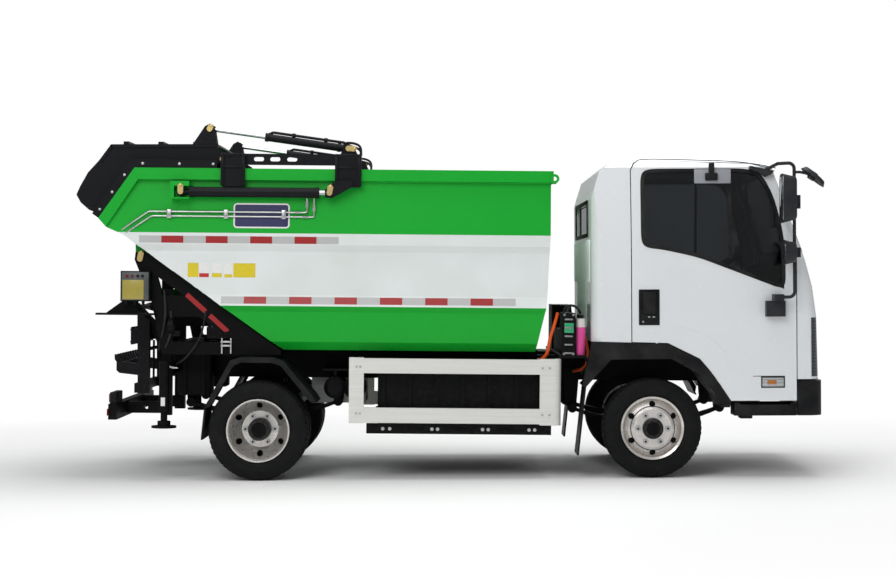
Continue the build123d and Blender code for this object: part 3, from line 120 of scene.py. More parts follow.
class TruckColours(bpy.types.PropertyGroup):
    """Colours of the painted and moulded surfaces."""

    green: colour_prop("Tub green", "Enamel on the tub's upper and lower panels", "#0FA82E")
    tub_white: colour_prop("Tub white", "Enamel on the tub's middle panel", "#E4E8E8")
    cab_white: colour_prop("Cab white", "Clear coated enamel on the cab", "#E6E9EB")
    guard_white: colour_prop("Guard white", "Anodised aluminium of the side guards", "#E4E4E0")
    charcoal: colour_prop("Charcoal", "Enamel on the pusher, carriage and cylinders", "#131418")
    chassis_black: colour_prop("Chassis black", "Satin enamel on the frame", "#070709")
    moulded_black: colour_prop("Moulded black", "Grained polypropylene arches and bumper parts", "#0E0F12")
    rubber: colour_prop("Rubber", "Tyres and seals", "#131415")
    tape_red: colour_prop("Tape red", "Red retroreflective tape", "#A3090F")
    tape_white: colour_prop("Tape white", "White retroreflective tape", "#BDBDBD")
    label_yellow: colour_prop("Label yellow", "Blank yellow plates", "#DCC71B")
    coolant: colour_prop("Coolant", "Pink coolant in the header bottles", "#E2559C")
    hot_cable: colour_prop("High voltage cable", "Orange cable sheath", "#E2571B")


class TruckSizes(bpy.types.PropertyGroup):
    """Sizes of the fittings that the CAD part leaves out."""

    tread_depth: size_prop("Tread depth", "Depth of the tyre's grooves", 8.0)
    pitches: IntProperty(name="Tread pitches", description="Shoulder blocks round a tyre", default=54, min=20)
    tape_width: size_prop("Tape width", "Width of the retroreflective tape", 50.0)
    pipe_radius: size_prop("Pipe radius", "Outside radius of the steel hydraulic pipes", 6.5)
    hose_radius: size_prop("Hose radius", "Outside radius of the rubber hoses", 9.0)
    trim_width: size_prop("Window trim", "Width of the black rubber round a window", 26.0)


def colours():
    """The scene's colours."""
    return bpy.context.scene.truck_colours


def sizes():
    """The scene's fitting sizes."""
    return bpy.context.scene.truck_sizes


# Materials
def add_node(tree, kind, links=None, values=None, **settings):
    """Add a node with its settings, its sockets' values and its incoming links."""
    node = tree.nodes.new(kind)
    for key, value in settings.items():
        setattr(node, key, value)
    for socket, value in (values or {}).items():
        node.inputs[socket].default_value = value
    for socket, source in (links or {}).items():
        tree.links.new(source, node.inputs[socket])
    return node


def new_finish(name, **sockets):
    """A material with one Principled shader, and the object coordinates that its patterns read."""
    material = bpy.data.materials.new(name)
    material.use_nodes = True
    tree = material.node_tree
    shader = tree.nodes["Principled BSDF"]
    for socket, value in sockets.items():
        shader.inputs[socket.replace("_", " ")].default_value = value
    return material, tree, shader, add_node(tree, "ShaderNodeTexCoord").outputs["Object"]


def mixed(tree, factor, low, high):
    """Socket that runs from one colour to another; either may be a socket or a plain colour."""
    mix = add_node(tree, "ShaderNodeMix", data_type="RGBA")
    for index, value in ((0, factor), (6, low), (7, high)):
        if isinstance(value, bpy.types.NodeSocket):
            tree.links.new(value, mix.inputs[index])
        else:
            mix.inputs[index].default_value = value
    return mix.outputs[2]


def ranged(tree, source, from_low, from_high, to_low, to_high):
    """Socket that maps a value from one range to another."""
    node = add_node(tree, "ShaderNodeMapRange", {"Value": source},
                    {"From Min": from_low, "From Max": from_high, "To Min": to_low, "To Max": to_high})
    return node.outputs["Result"]


def worked(tree, operation, *sources):
    """Socket of a sum on one or two other sockets."""
    return add_node(tree, "ShaderNodeMath", dict(enumerate(sources)), operation=operation).outputs[0]


def length_of(tree, source):
    """Socket of a vector's length."""
    return add_node(tree, "ShaderNodeVectorMath", {0: source}, operation="LENGTH").outputs["Value"]


def axis_of(tree, source, axis):
    """Socket of one coordinate of a vector."""
    return add_node(tree, "ShaderNodeSeparateXYZ", {0: source}).outputs[axis]


def spread(tree, place, **values):
    """Coordinates that are moved or scaled."""
    return add_node(tree, "ShaderNodeMapping", {"Vector": place}, values).outputs[0]


def noise(tree, place, size_mm, detail=2.0, stretch=(1.0, 1.0, 1.0)):
    """Noise whose spots are about size_mm across, drawn out along the axes that stretch divides."""
    return add_node(tree, "ShaderNodeTexNoise", {"Vector": spread(tree, place, Scale=stretch)},
                    {"Scale": 1 / (size_mm * MM), "Detail": detail}).outputs[0]


def waves(tree, place, size_mm, axis):
    """Even waves along an axis."""
    return add_node(tree, "ShaderNodeTexWave", {"Vector": place}, {"Scale": 1 / (size_mm * MM) / 6.28},
                    bands_direction=axis).outputs["Fac"]


def dress(shader, colour, rough=None, relief=None, depth_mm=0.0, strength=1.0):
    """Wire a shader's colour and roughness, and raise its surface by a pattern of the given depth."""
    tree = shader.id_data
    sources = {"Base Color": colour, "Roughness": rough}
    if relief is not None:
        sources["Normal"] = add_node(tree, "ShaderNodeBump", {"Height": relief},
                                     {"Strength": strength, "Distance": depth_mm * MM}).outputs[0]
    for socket, source in sources.items():
        if source is not None:
            tree.links.new(source, shader.inputs[socket])


def shade(colour, share):
    """A colour made lighter or darker by a share."""
    return tuple(min(1.0, c * share) for c in colour[:3]) + (1.0,)


def band_paint(tree, place, green, white):
    """White between the two creases of the tub's wall and green elsewhere, with the rake taken out."""
    level = add_node(tree, "ShaderNodeVectorMath", {0: place}, {1: (sin(RAKE), 0.0, cos(RAKE))},
                     operation="DOT_PRODUCT").outputs["Value"]
    offset = (RAKE_PIVOT[0] * sin(RAKE) + RAKE_PIVOT[1] * cos(RAKE) - RAKE_PIVOT[1]) * MM
    low, high = (height * MM + offset for height in WHITE_BAND)
    inside = worked(tree, "MULTIPLY", ranged(tree, level, low - 0.0005, low + 0.0005, 0.0, 1.0),
                    ranged(tree, level, high - 0.0005, high + 0.0005, 1.0, 0.0))
    return mixed(tree, inside, green, white)


def enamel(name, colour, gloss, coat, dirt, glint=0.5, banded=False):
    """Stoved enamel on sheet steel: a wet, slightly rippled gloss with a film of road dust low down."""
    material, tree, shader, place = new_finish(name, Coat_Weight=coat, Coat_Roughness=0.08, IOR=1.5,
                                             Specular_IOR_Level=glint)
    base = band_paint(tree, place, colour, tuple(colours().tub_white)) if banded else colour
    cloud = ranged(tree, noise(tree, place, 420, 3), 0.35, 0.7, 0.0, 0.10)
    speckle = noise(tree, place, 35, 6)
    film = worked(tree, "MULTIPLY", ranged(tree, axis_of(tree, place, "Z"), 0.35, 1.3, 1.0, 0.15),
                  ranged(tree, speckle, 0.42, 0.72, 0.0, dirt))
    # orange peel of sprayed enamel, about 3 mm across
    dress(shader, mixed(tree, film, mixed(tree, cloud, base, shade(colour, 0.75)), linear("#8C8478")),
          ranged(tree, speckle, 0.3, 0.75, gloss, gloss + 0.14), noise(tree, place, 3, 1), 0.05, 0.35)
    return material


def moulded(name, colour, rough=0.5, grain_mm=1.6, dust=0.10):
    """Moulded polypropylene or cast surface: even matt colour over a fine pebbled grain."""
    material, tree, shader, place = new_finish(name, IOR=1.46, Specular_IOR_Level=0.2)
    cloud = noise(tree, place, 160, 4)
    # leather-like grain, drawn larger than it is so that it shows
    pebbles = add_node(tree, "ShaderNodeTexVoronoi", {"Vector": place}, {"Scale": 1 / (grain_mm * MM)})
    dress(shader, mixed(tree, ranged(tree, cloud, 0.4, 0.75, 0.0, dust), colour, linear("#77746E")),
          ranged(tree, cloud, 0.3, 0.7, rough - 0.05, rough + 0.1), pebbles.outputs["Distance"], 0.12, 0.5)
    return material


def tyre_rubber(name, colour):
    """Carbon black tyre rubber: dull, with a dusty bloom."""
    material, tree, shader, place = new_finish(name, IOR=1.5, Specular_IOR_Level=0.12)
    bloom = noise(tree, place, 60, 5)
    dress(shader, mixed(tree, ranged(tree, bloom, 0.4, 0.75, 0.0, 0.08), colour, linear("#5A5751")),
          ranged(tree, bloom, 0.3, 0.7, 0.62, 0.85), noise(tree, place, 2.2, 3), 0.15, 0.5)
    return material


def polished_wheel(name, colour, axle_x, drum_face, hub_r):
    """Polished steel disc wheel with turned rings, and the black painted hub at its middle."""
    material, tree, shader, place = new_finish(name)
    radius = length_of(tree, spread(tree, place, Location=(-axle_x * MM, 0, -TYRE_R * MM), Scale=(1, 0, 1)))
    reach = worked(tree, "ABSOLUTE", axis_of(tree, place, "Y"))
    hub = ranged(tree, radius, hub_r * MM, (hub_r + 1) * MM, 1.0, 0.0)
    behind = ranged(tree, reach, (drum_face - 1) * MM, drum_face * MM, 1.0, 0.0)
    drum = ranged(tree, radius, DRUM_R * MM, (DRUM_R + 2) * MM, 1.0, 0.0)
    black = worked(tree, "MAXIMUM", hub, worked(tree, "MULTIPLY", behind, drum))
    stain = noise(tree, place, 45, 5)
    metal = mixed(tree, ranged(tree, stain, 0.35, 0.75, 0.0, 0.35), colour, linear("#B9B0A9"))
    polish = ranged(tree, stain, 0.3, 0.75, 0.24, 0.4)
    rough = add_node(tree, "ShaderNodeMix", {0: black, 2: polish}, {3: 0.5}, data_type="FLOAT").outputs[0]
    tree.links.new(ranged(tree, black, 0.0, 1.0, 0.72, 0.0), shader.inputs["Metallic"])
    # turning marks left by the spinning tool, drawn 4 mm apart
    rings = add_node(tree, "ShaderNodeMath", {0: radius}, {1: 2 * pi / (4 * MM)}, operation="MULTIPLY")
    dress(shader, mixed(tree, black, metal, tuple(colours().chassis_black)), rough,
          worked(tree, "SINE", rings.outputs[0]), 0.03, 0.25)
    return material


def bare_metal(name, colour, rough, grain=(1.0, 1.0, 1.0), size_mm=6.0, depth_mm=0.05):
    """Bare or plated metal: metallic, with stains and the lines of its grain."""
    material, tree, shader, place = new_finish(name, Metallic=1.0)
    stain = ranged(tree, noise(tree, place, 70, 4), 0.35, 0.75, 0.0, 0.45)
    lines = noise(tree, place, size_mm, 3, grain)
    dress(shader, mixed(tree, stain, colour, shade(colour, 0.62)),
          ranged(tree, lines, 0.3, 0.7, rough - 0.06, rough + 0.12), lines, depth_mm, 0.4)
    return material


def guard_aluminium(name, colour):
    """Anodised aluminium extrusion: pale satin metal whose drawing lines run along it."""
    material, tree, shader, place = new_finish(name, Metallic=0.35, IOR=1.5)
    streak = noise(tree, place, 9, 4, (0.02, 1.0, 1.0))
    dress(shader, mixed(tree, ranged(tree, streak, 0.35, 0.7, 0.0, 0.35), colour, linear("#C9C8C3")),
          ranged(tree, streak, 0.3, 0.7, 0.36, 0.5), streak, 0.04, 0.3)
    return material


def reflective_tape(name, colour):
    """Retroreflective tape: a glossy film over a mesh of six-sided cells, drawn 9 mm across."""
    material, tree, shader, place = new_finish(name, Coat_Weight=0.1, Coat_Roughness=0.3, IOR=1.5)
    cells = add_node(tree, "ShaderNodeTexVoronoi", {"Vector": spread(tree, place, Scale=(1, 0, 1))},
                     {"Scale": 1 / (9 * MM), "Randomness": 0.15}, feature="DISTANCE_TO_EDGE")
    wall = ranged(tree, cells.outputs["Distance"], 0.02, 0.09, 1.0, 0.0)
    dress(shader, mixed(tree, wall, colour, shade(colour, 0.7)), ranged(tree, wall, 0.0, 1.0, 0.42, 0.55),
          wall, 0.08, 0.4)
    return material


def printed_plate(name, colour):
    """Screen printed plastic label, left blank: a flat film with faint dust."""
    material, tree, shader, place = new_finish(name, Coat_Weight=0.3, Coat_Roughness=0.1, IOR=1.5)
    cloud = noise(tree, place, 30, 4)
    dress(shader, mixed(tree, ranged(tree, cloud, 0.4, 0.8, 0.0, 0.2), colour, shade(colour, 0.6)),
          ranged(tree, cloud, 0.3, 0.7, 0.3, 0.45))
    return material


def tinted_glass(name, colour):
    """Tinted safety glass: dark body colour with sharp reflections."""
    material, tree, shader, place = new_finish(name, IOR=1.4, Transmission_Weight=1.0)
    film = noise(tree, place, 260, 3)
    dress(shader, mixed(tree, ranged(tree, film, 0.4, 0.8, 0.0, 0.3), colour, shade(colour, 1.6)),
          ranged(tree, film, 0.4, 0.8, 0.0, 0.04))
    return material


def lamp_lens(name, colour):
    """Clear or coloured polycarbonate lens with moulded flutes 12 mm apart."""
    material, tree, shader, place = new_finish(name, IOR=1.58, Transmission_Weight=0.35, Coat_Weight=0.5)
    flutes = waves(tree, place, 12.0, "Z")
    dress(shader, mixed(tree, flutes, colour, shade(colour, 0.72)), ranged(tree, flutes, 0, 1, 0.05, 0.16),
          flutes, 0.6, 0.5)
    return material


def seat_cloth(name, colour):
    """Woven polyester seat cloth: soft dark weave, drawn with 3 mm threads so that it shows."""
    material, tree, shader, place = new_finish(name, Sheen_Weight=0.35, Roughness=0.9)
    weave = worked(tree, "MULTIPLY", waves(tree, place, 3, "Y"), waves(tree, place, 3, "X"))
    dress(shader, mixed(tree, weave, colour, linear("#34383F")), None, weave, 0.5, 0.6)
    return material


# Each finish: its maker, its colour as a hex code or as one of the scene's colours, and the maker's values
FINISHES = {
    "green_enamel": (enamel, "green", 0.36, 0.06, 0.05, 0.2),
    "tub_enamel": (enamel, "green", 0.36, 0.06, 0.05, 0.2, True),
    "cab_enamel": (enamel, "cab_white", 0.16, 0.6, 0.04),
    "charcoal_enamel": (enamel, "charcoal", 0.42, 0.04, 0.04, 0.12),
    "chassis_enamel": (enamel, "chassis_black", 0.5, 0.02, 0.02, 0.1),
    "control_enamel": (enamel, "#4A4D4F", 0.4, 0.1, 0.1),
    "battery_enamel": (enamel, "#0B0C0E", 0.5, 0.02, 0.03, 0.1),
    "black_moulding": (moulded, "moulded_black"),
    "gloss_moulding": (moulded, "#0E0F11", 0.2, 6, 0.04),
    "seal_rubber": (moulded, "rubber", 0.62, 2.4, 0.15),
    "mirror_shell": (moulded, "#2B2D31", 0.42),
    "dash_moulding": (moulded, "#2A2C2F", 0.6),
    "bottle_moulding": (moulded, "#D9D7D2", 0.3),
    "coolant_moulding": (moulded, "coolant", 0.25, 5, 0.05),
    "cable_sheath": (moulded, "hot_cable", 0.45, 3, 0.15),
    "hose_rubber": (moulded, "#18191A", 0.55, 3, 0.2),
    "cast_iron": (moulded, "#131314", 0.55, 4, 0.15),
    "silver_moulding": (moulded, "#9B9DA4", 0.35, 5, 0.03),
    "tyre_rubber": (tyre_rubber, "rubber"),
    "front_wheel_steel": (polished_wheel, "#DEDAD6", FRONT_AXLE_X, FRONT_MOUNT_Y - 12, 74.0),
    "rear_wheel_steel": (polished_wheel, "#DEDAD6", REAR_AXLE_X, DUAL_MOUNT_Y - 12, 80.0),
    "yellow_zinc": (bare_metal, "#D8C184", 0.32),
    "bright_zinc": (bare_metal, "#C8C9C9", 0.3, (0.1, 1.0, 1.0)),
    "hard_chrome": (bare_metal, "#B9BABD", 0.14, (0.05, 1.0, 1.0), 3.0, 0.02),
    "cast_aluminium": (bare_metal, "#9A9B9C", 0.48, (1.0, 1.0, 1.0), 2.0, 0.3),
    "mirror_glass": (bare_metal, "#C5CACC", 0.06, (1.0, 1.0, 1.0), 200, 0.01),
    "guard_aluminium": (guard_aluminium, "guard_white"),
    "red_tape": (reflective_tape, "tape_red"),
    "white_tape": (reflective_tape, "tape_white"),
    "yellow_plate": (printed_plate, "label_yellow"),
    "white_plate": (printed_plate, "#E9E9E6"),
    "red_plate": (printed_plate, "#C22026"),
    "green_plate": (printed_plate, "#1FA368"),
    "navy_plate": (printed_plate, "#1D1D55"),
    "tan_plate": (printed_plate, "#A3953A"),
    "tinted_glass": (tinted_glass, "#5C6063"),
    "clear_lens": (lamp_lens, "#DCE0E2"),
    "smoked_lens": (lamp_lens, "#3C3F43"),
    "amber_lens": (lamp_lens, "#E08A2C"),
    "red_lens": (lamp_lens, "#A31216"),
    "seat_cloth": (seat_cloth, "#1E2126"),
}


MADE = {}


def finish(name):
    """The named material, made the first time that it is asked for."""
    if name not in MADE:
        maker, colour, *values = FINISHES[name]
        tone = linear(colour) if colour.startswith("#") else tuple(getattr(colours(), colour))
        MADE[name] = maker(name, tone, *values)
    return MADE[name]


# Modelling helpers, which take millimetres
def place_new(bm, made, matrix):
    """Put what an operator has made in its place."""
    verts = made["verts"]
    bmesh.ops.transform(bm, matrix=matrix, verts=verts)
    return verts


def round_edges(bm, edges, reach, steps):
    """Bevel some edges round."""
    bmesh.ops.bevel(bm, geom=edges, offset=reach, offset_type="OFFSET", segments=steps, profile=0.5,
                    affect="EDGES", material=-1)


def block(bm, x_span, y_span, z_span, round_by=0.0, steps=2):
    """A block between three pairs of coordinates, its edges rounded."""
    spans = (x_span, y_span, z_span)
    centre = Vector([sum(span) / 2 for span in spans])
    size = [abs(span[1] - span[0]) for span in spans]
    verts = place_new(bm, bmesh.ops.create_cube(bm, size=1.0),
                      Matrix.Translation(centre) @ Matrix.Diagonal((*size, 1.0)))
    if round_by:
        edges = list({edge for vert in verts for edge in vert.link_edges})
        round_edges(bm, edges, min(round_by, min(size) * 0.49), steps)
    return verts


def rod(bm, start, end, radius, end_radius=None, sides=24):
    """A round bar between two points, tapered if it has an end radius."""
    reach = Vector(end) - Vector(start)
    turn = reach.to_track_quat("Z", "Y").to_matrix().to_4x4()
    made = bmesh.ops.create_cone(bm, cap_ends=True, cap_tris=False, segments=sides, radius1=radius,
                                 radius2=radius if end_radius is None else end_radius, depth=reach.length)
    return place_new(bm, made, Matrix.Translation((Vector(start) + Vector(end)) / 2) @ turn)


def bolt(bm, place, outwards, radius, height=None):
    """A hexagon head on its washer, facing outwards from a surface."""
    height = height or radius * 0.75
    out = Vector(outwards).normalized()
    seat = Vector(place)
    rod(bm, seat - out, seat + out * height * 0.25, radius * 1.35, sides=20)
    rod(bm, seat, seat + out * height, radius, sides=6)
    rod(bm, seat + out * height, seat + out * height * 1.08, radius * 0.8, radius * 0.7, sides=12)


def plate(bm, outline, y_low, y_high):
    """A side view outline, X and Z, extruded across the vehicle."""
    verts = [bm.verts.new((x, y_low, z)) for x, z in outline]
    face = bm.faces.new(verts)
    made = bmesh.ops.extrude_face_region(bm, geom=[face])
    far = [item for item in made["geom"] if isinstance(item, bmesh.types.BMVert)]
    bmesh.ops.translate(bm, vec=(0, y_high - y_low, 0), verts=far)


def ring(bm, outline, axle_x, axle_z, steps):
    """Spin a radius and Y outline about an axle line; a closed outline makes a closed ring."""
    verts = [bm.verts.new((axle_x, y, axle_z + radius)) for radius, y in outline]
    edges = [bm.edges.new((a, b)) for a, b in zip(verts, verts[1:] + verts[:1])]
    bmesh.ops.spin(bm, geom=verts + edges, cent=(axle_x, 0, axle_z), axis=(0, 1, 0), dvec=(0, 0, 0),
                   angle=2 * pi, steps=steps, use_merge=True, use_duplicate=False)


def mirror_across(bm):
    """Repeat everything on the vehicle's other side."""
    geometry = bm.verts[:] + bm.edges[:] + bm.faces[:]
    made = bmesh.ops.duplicate(bm, geom=geometry)
    verts = [item for item in made["geom"] if isinstance(item, bmesh.types.BMVert)]
    faces = [item for item in made["geom"] if isinstance(item, bmesh.types.BMFace)]
    bmesh.ops.scale(bm, vec=(1, -1, 1), verts=verts)
    bmesh.ops.reverse_faces(bm, faces=faces)


def rake_matrix():
    """Turn from the level drawing to the tipped frame, in millimetres."""
    pivot = Matrix.Translation((RAKE_PIVOT[0], 0, RAKE_PIVOT[1]))
    return pivot @ Matrix.Rotation(RAKE, 4, "Y") @ pivot.inverted()


def keep(bm, name, look, body="chassis", raked=False, smooth=35.0):
    """Turn finished geometry into a piece in metres that rides on a body."""
    if raked or body in TIPPED:
        bmesh.ops.transform(bm, matrix=rake_matrix(), verts=bm.verts[:])
    bmesh.ops.scale(bm, vec=(MM, MM, MM), verts=bm.verts[:])
    bmesh.ops.recalc_face_normals(bm, faces=bm.faces[:])
    mesh = bpy.data.meshes.new(name)
    bm.to_mesh(mesh)
    bm.free()
    mesh.shade_smooth()
    mesh.set_sharp_from_angle(angle=radians(smooth))
    piece = bpy.data.objects.new(name, mesh)
    bpy.context.scene.collection.objects.link(piece)
    mesh.materials.append(finish(look))
    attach(piece, body)
    return piece


def add_tube(bm, points, radius, bends=True):
    """A pipe or hose through some points, as a curve that is turned into mesh."""
    curve = bpy.data.curves.new("route", "CURVE")
    curve.dimensions = "3D"
    curve.bevel_depth = radius
    curve.bevel_resolution = 4
    curve.use_fill_caps = True
    spline = curve.splines.new("NURBS" if bends else "POLY")
    spline.points.add(len(points) - 1)
    for point, place in zip(spline.points, points):
        point.co = (*place, 1.0)
    if bends:
        spline.order_u = 3
        spline.use_endpoint_u = True
        spline.resolution_u = 6
    holder = bpy.data.objects.new("route", curve)
    bpy.context.scene.collection.objects.link(holder)
    mesh = bpy.data.meshes.new_from_object(holder.evaluated_get(bpy.context.evaluated_depsgraph_get()))
    bm.from_mesh(mesh)
    bpy.data.objects.remove(holder)
    bpy.data.curves.remove(curve)
    bpy.data.meshes.remove(mesh)


def tub_y(z):
    """Half width of the tub's outside at a height of the level drawing."""
    for (high, high_y), (low, low_y) in zip(TUB_SECTION, TUB_SECTION[1:]):
        if low <= z <= high:
            return low_y + (high_y - low_y) * (z - low) / (high - low)
    return TUB_SECTION[0][1]


def wall_plate(bm, x_span, z_span, lift, corner=0.0):
    """A thin plate laid on the tub's leaning wall, its corners rounded."""
    first = len(bm.verts)
    block(bm, x_span, (-lift, 0.2), z_span)
    bm.verts.ensure_lookup_table()
    verts = bm.verts[first:]
    if corner:
        upright = list({edge for vert in verts for edge in vert.link_edges
                        if abs(edge.verts[0].co.y - edge.verts[1].co.y) > 0.1})
        round_edges(bm, upright, corner, 5)
        bm.verts.ensure_lookup_table()
        verts = bm.verts[first:]
    for vert in verts:
        vert.co.y -= tub_y(vert.co.z)


def cab_y(z):
    """Half width of the cab's outside at a height: upright, then leaning in on an arc."""
    if z <= CAB_HINGE_LINE:
        return CAB_HALF_W
    drop, rise = CAB_HALF_W - ROOF_HALF_W, ROOF_SIDE_Z - CAB_HINGE_LINE
    bow = (drop ** 2 + rise ** 2) / (2 * drop)
    return CAB_HALF_W - bow + sqrt(bow ** 2 - (z - CAB_HINGE_LINE) ** 2)


def along(start, end, share):
    """The point at a share of the way between two points."""
    return tuple(a + (b - a) * share for a, b in zip(start, end))


SHAPERS = {"blocks": block, "rods": rod, "bolts": bolt, "tubes": add_tube, "plates": plate,
           "walls": wall_plate}


def fit(name, look, slot, body="chassis", both=False, raked=False, **shapes):
    """A piece from rows of values for the shaping functions, repeated on the other side if both is set."""
    bm = bmesh.new()
    for kind, rows in shapes.items():
        for row in rows:
            SHAPERS[kind](bm, *row)
    if both:
        mirror_across(bm)
    return keep(bm, name, look, body, raked)


# a piece of the tipped frame
fit_frame = partial(fit, raked=True)
OUT = (0, -1, 0)


CAD_LOOKS = {
    "tub_enamel": ["tub_sides"],
    "green_enamel": ["tub_floor", "tub_front", "tub_rim"],
    "charcoal_enamel": ["rim_guards", "slide_cylinder_barrels", "slide_carriage", "pusher_blade",
                        "swing_cylinder_barrels", "lift_cylinder_barrels", "lifter_slide", "lifter_frame"],
    "battery_enamel": ["battery_pack", "power_unit", "control_box"],
    "hard_chrome": ["slide_cylinder_rods", "swing_cylinder_rods", "lift_cylinder_rods"],
    "chassis_enamel": ["frame_rails", "tilt_frame", "leaf_springs", "stabiliser_legs", "rear_underrun",
                       "cab_floor"],
    "cast_iron": ["front_axle", "rear_axle", "knuckle_right", "knuckle_left"],
    "cast_aluminium": ["drive_motor"],
    "guard_aluminium": ["side_guards"],
    "black_moulding": ["rear_mudguards", "cab_steps", "cab_flares", "steering_wheel", "bumper"],
    "cab_enamel": ["cab_roof", "cab_back", "cab_front", "door_right", "door_left"],
    "tinted_glass": ["cab_glass", "door_glass_right", "door_glass_left"],
    "smoked_lens": ["lamps"],
    "dash_moulding": ["dashboard"],
    "seat_cloth": ["seats"],
    "mirror_shell": ["mirror_right", "mirror_left", "kerb_mirror"],
    "tyre_rubber": ["tyre_front_right", "tyre_front_left", "tyres_rear_right", "tyres_rear_left"],
    "front_wheel_steel": ["rim_front_right", "rim_front_left"],
    "rear_wheel_steel": ["rims_rear_right", "rims_rear_left"],
}


class TRUCK_OT_cad_finishes(bpy.types.Operator):
    """Give every CAD node the finish of the real piece"""
    bl_idname = "truck.cad_finishes"
    bl_label = "Finishes of the CAD nodes"

    def execute(self, context):
        for look, nodes in CAD_LOOKS.items():
            for node in nodes:
                mesh = NODES[node].data
                mesh.materials.clear()
                mesh.materials.append(finish(look))
        return {"FINISHED"}


class TRUCK_OT_tyres(bpy.types.Operator):
    """Build the treaded tyres that stand for the plain CAD ones"""
    bl_idname = "truck.tyres"
    bl_label = "Tyres"

    def execute(self, context):
        depth = sizes().tread_depth / MM
        # radius and distance from the tyre's middle, from the bead over the wall to the crown
        wall = [(213, 60), (214, 66), (225, 69), (233, 77), (241, 83), (246, 86.5), (249, 88), (252, 87.5),
                (266, 92), (284, 95), (298, 94.8), (301, 93.8), (306, 94.4), (318, 90), (326, 86.5),
                (329, 86), (336, 83), (345, 78), (350.5, 71), (351.6, 62), (352, 51), (352 - depth, 49),
                (352 - depth, 43), (352.8, 41), (353.6, 17), (353.7 - depth, 15.5), (353.7 - depth, 10),
                (TYRE_R, 8)]
        outline = wall + [(radius, -y) for radius, y in reversed(wall)]
        steps = sizes().pitches * 4
        for node, body, axle_x, middles in (
                ("tyre_front_{}", "wheel_front_{}", FRONT_AXLE_X, (FRONT_WHEEL_Y,)),
                ("tyres_rear_{}", "wheels_rear_{}", REAR_AXLE_X,
                 (DUAL_MOUNT_Y + DISC_OFFSET, DUAL_MOUNT_Y - DISC_OFFSET))):
            for side, sign in SIDES.items():
                bm = bmesh.new()
                for middle in middles:
                    ring(bm, [(radius, sign * middle + y) for radius, y in outline], axle_x, TYRE_R, steps)
                self.cut_blocks(bm, axle_x, [sign * middle for middle in middles], steps, depth)
                piece = keep(bm, "tread_" + node.format(side), "tyre_rubber", body.format(side))
                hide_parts(node.format(side))
        return {"FINISHED"}

    def cut_blocks(self, bm, axle_x, middles, steps, depth):
        """Sink one step in four across the shoulders, so that the tread breaks into blocks."""
        for vert in bm.verts:
            x, z = vert.co.x - axle_x, vert.co.z - TYRE_R
            radius = hypot(x, z)
            off = min(abs(vert.co.y - middle) for middle in middles)
            step = round(atan2(x, z) / (2 * pi / steps)) % 4
            shoulder = off > 50 and radius > 343
            rib = 17 < off < 42 and radius > 350
            if (shoulder and step == 0) or (rib and step == 2):
                share = (radius - (depth if shoulder else depth * 0.5)) / radius
                vert.co.x, vert.co.z = axle_x + x * share, TYRE_R + z * share


class TRUCK_OT_wheel_fittings(bpy.types.Operator):
    """Build the wheel nuts, hub caps' bolts and valves"""
    bl_idname = "truck.wheel_fittings"
    bl_label = "Wheel nuts and valves"

    def execute(self, context):
        for body, axle_x, face, cap, cap_r, inset in (
                ("wheel_front_{}", FRONT_AXLE_X, FRONT_MOUNT_Y, FRONT_MOUNT_Y + 35, 50, 62),
                ("wheels_rear_{}", REAR_AXLE_X, DUAL_MOUNT_Y + 11, DUAL_MOUNT_Y + 120, 56, 40)):
            for side, sign in SIDES.items():
                rider = body.format(side)

                def around(radius, turn, y):
                    return (axle_x + radius * cos(turn), sign * y, TYRE_R + radius * sin(turn))

                def middle(y):
                    return around(0, 0, y)

                turns = [pi / 3 * index for index in range(6)]
                fit("wheel_nuts_" + rider, "bright_zinc", "rod_chrome", rider,
                    bolts=[(around(NUT_CIRCLE_R, turn, face), (0, sign, 0), 17, 17) for turn in turns])
                valve = [(axle_x + 150, sign * (face - 4), TYRE_R - 92),
                         (axle_x + 158, sign * (face + 22), TYRE_R - 97)]
                fit("wheel_studs_" + rider, "cast_iron", "axle_black", rider, rods=[
                    (around(NUT_CIRCLE_R, turn, face + 17), around(NUT_CIRCLE_R, turn, face + 27), 8, 7.4, 14)
                    for turn in turns] + [(*valve, 5, 3.6, 12)])
                fit("hub_cap_" + rider, "chassis_enamel", "axle_black", rider,
                    rods=[(middle(cap - 2), middle(cap + 5), cap_r, cap_r - 5),
                          (middle(cap + 5), middle(cap + 9), 22, 18, 6)],
                    bolts=[(around(cap_r + 6, pi / 4 * index + 0.2, cap - 2), (0, sign, 0), 5, 4)
                           for index in range(8)])
                fit("brake_shield_" + rider, "chassis_enamel", "axle_black",
                    f"knuckle_{side}" if axle_x > 0 else "chassis",
                    rods=[(middle(face - inset), middle(face - inset - 5), 194, None, 60)])
        return {"FINISHED"}


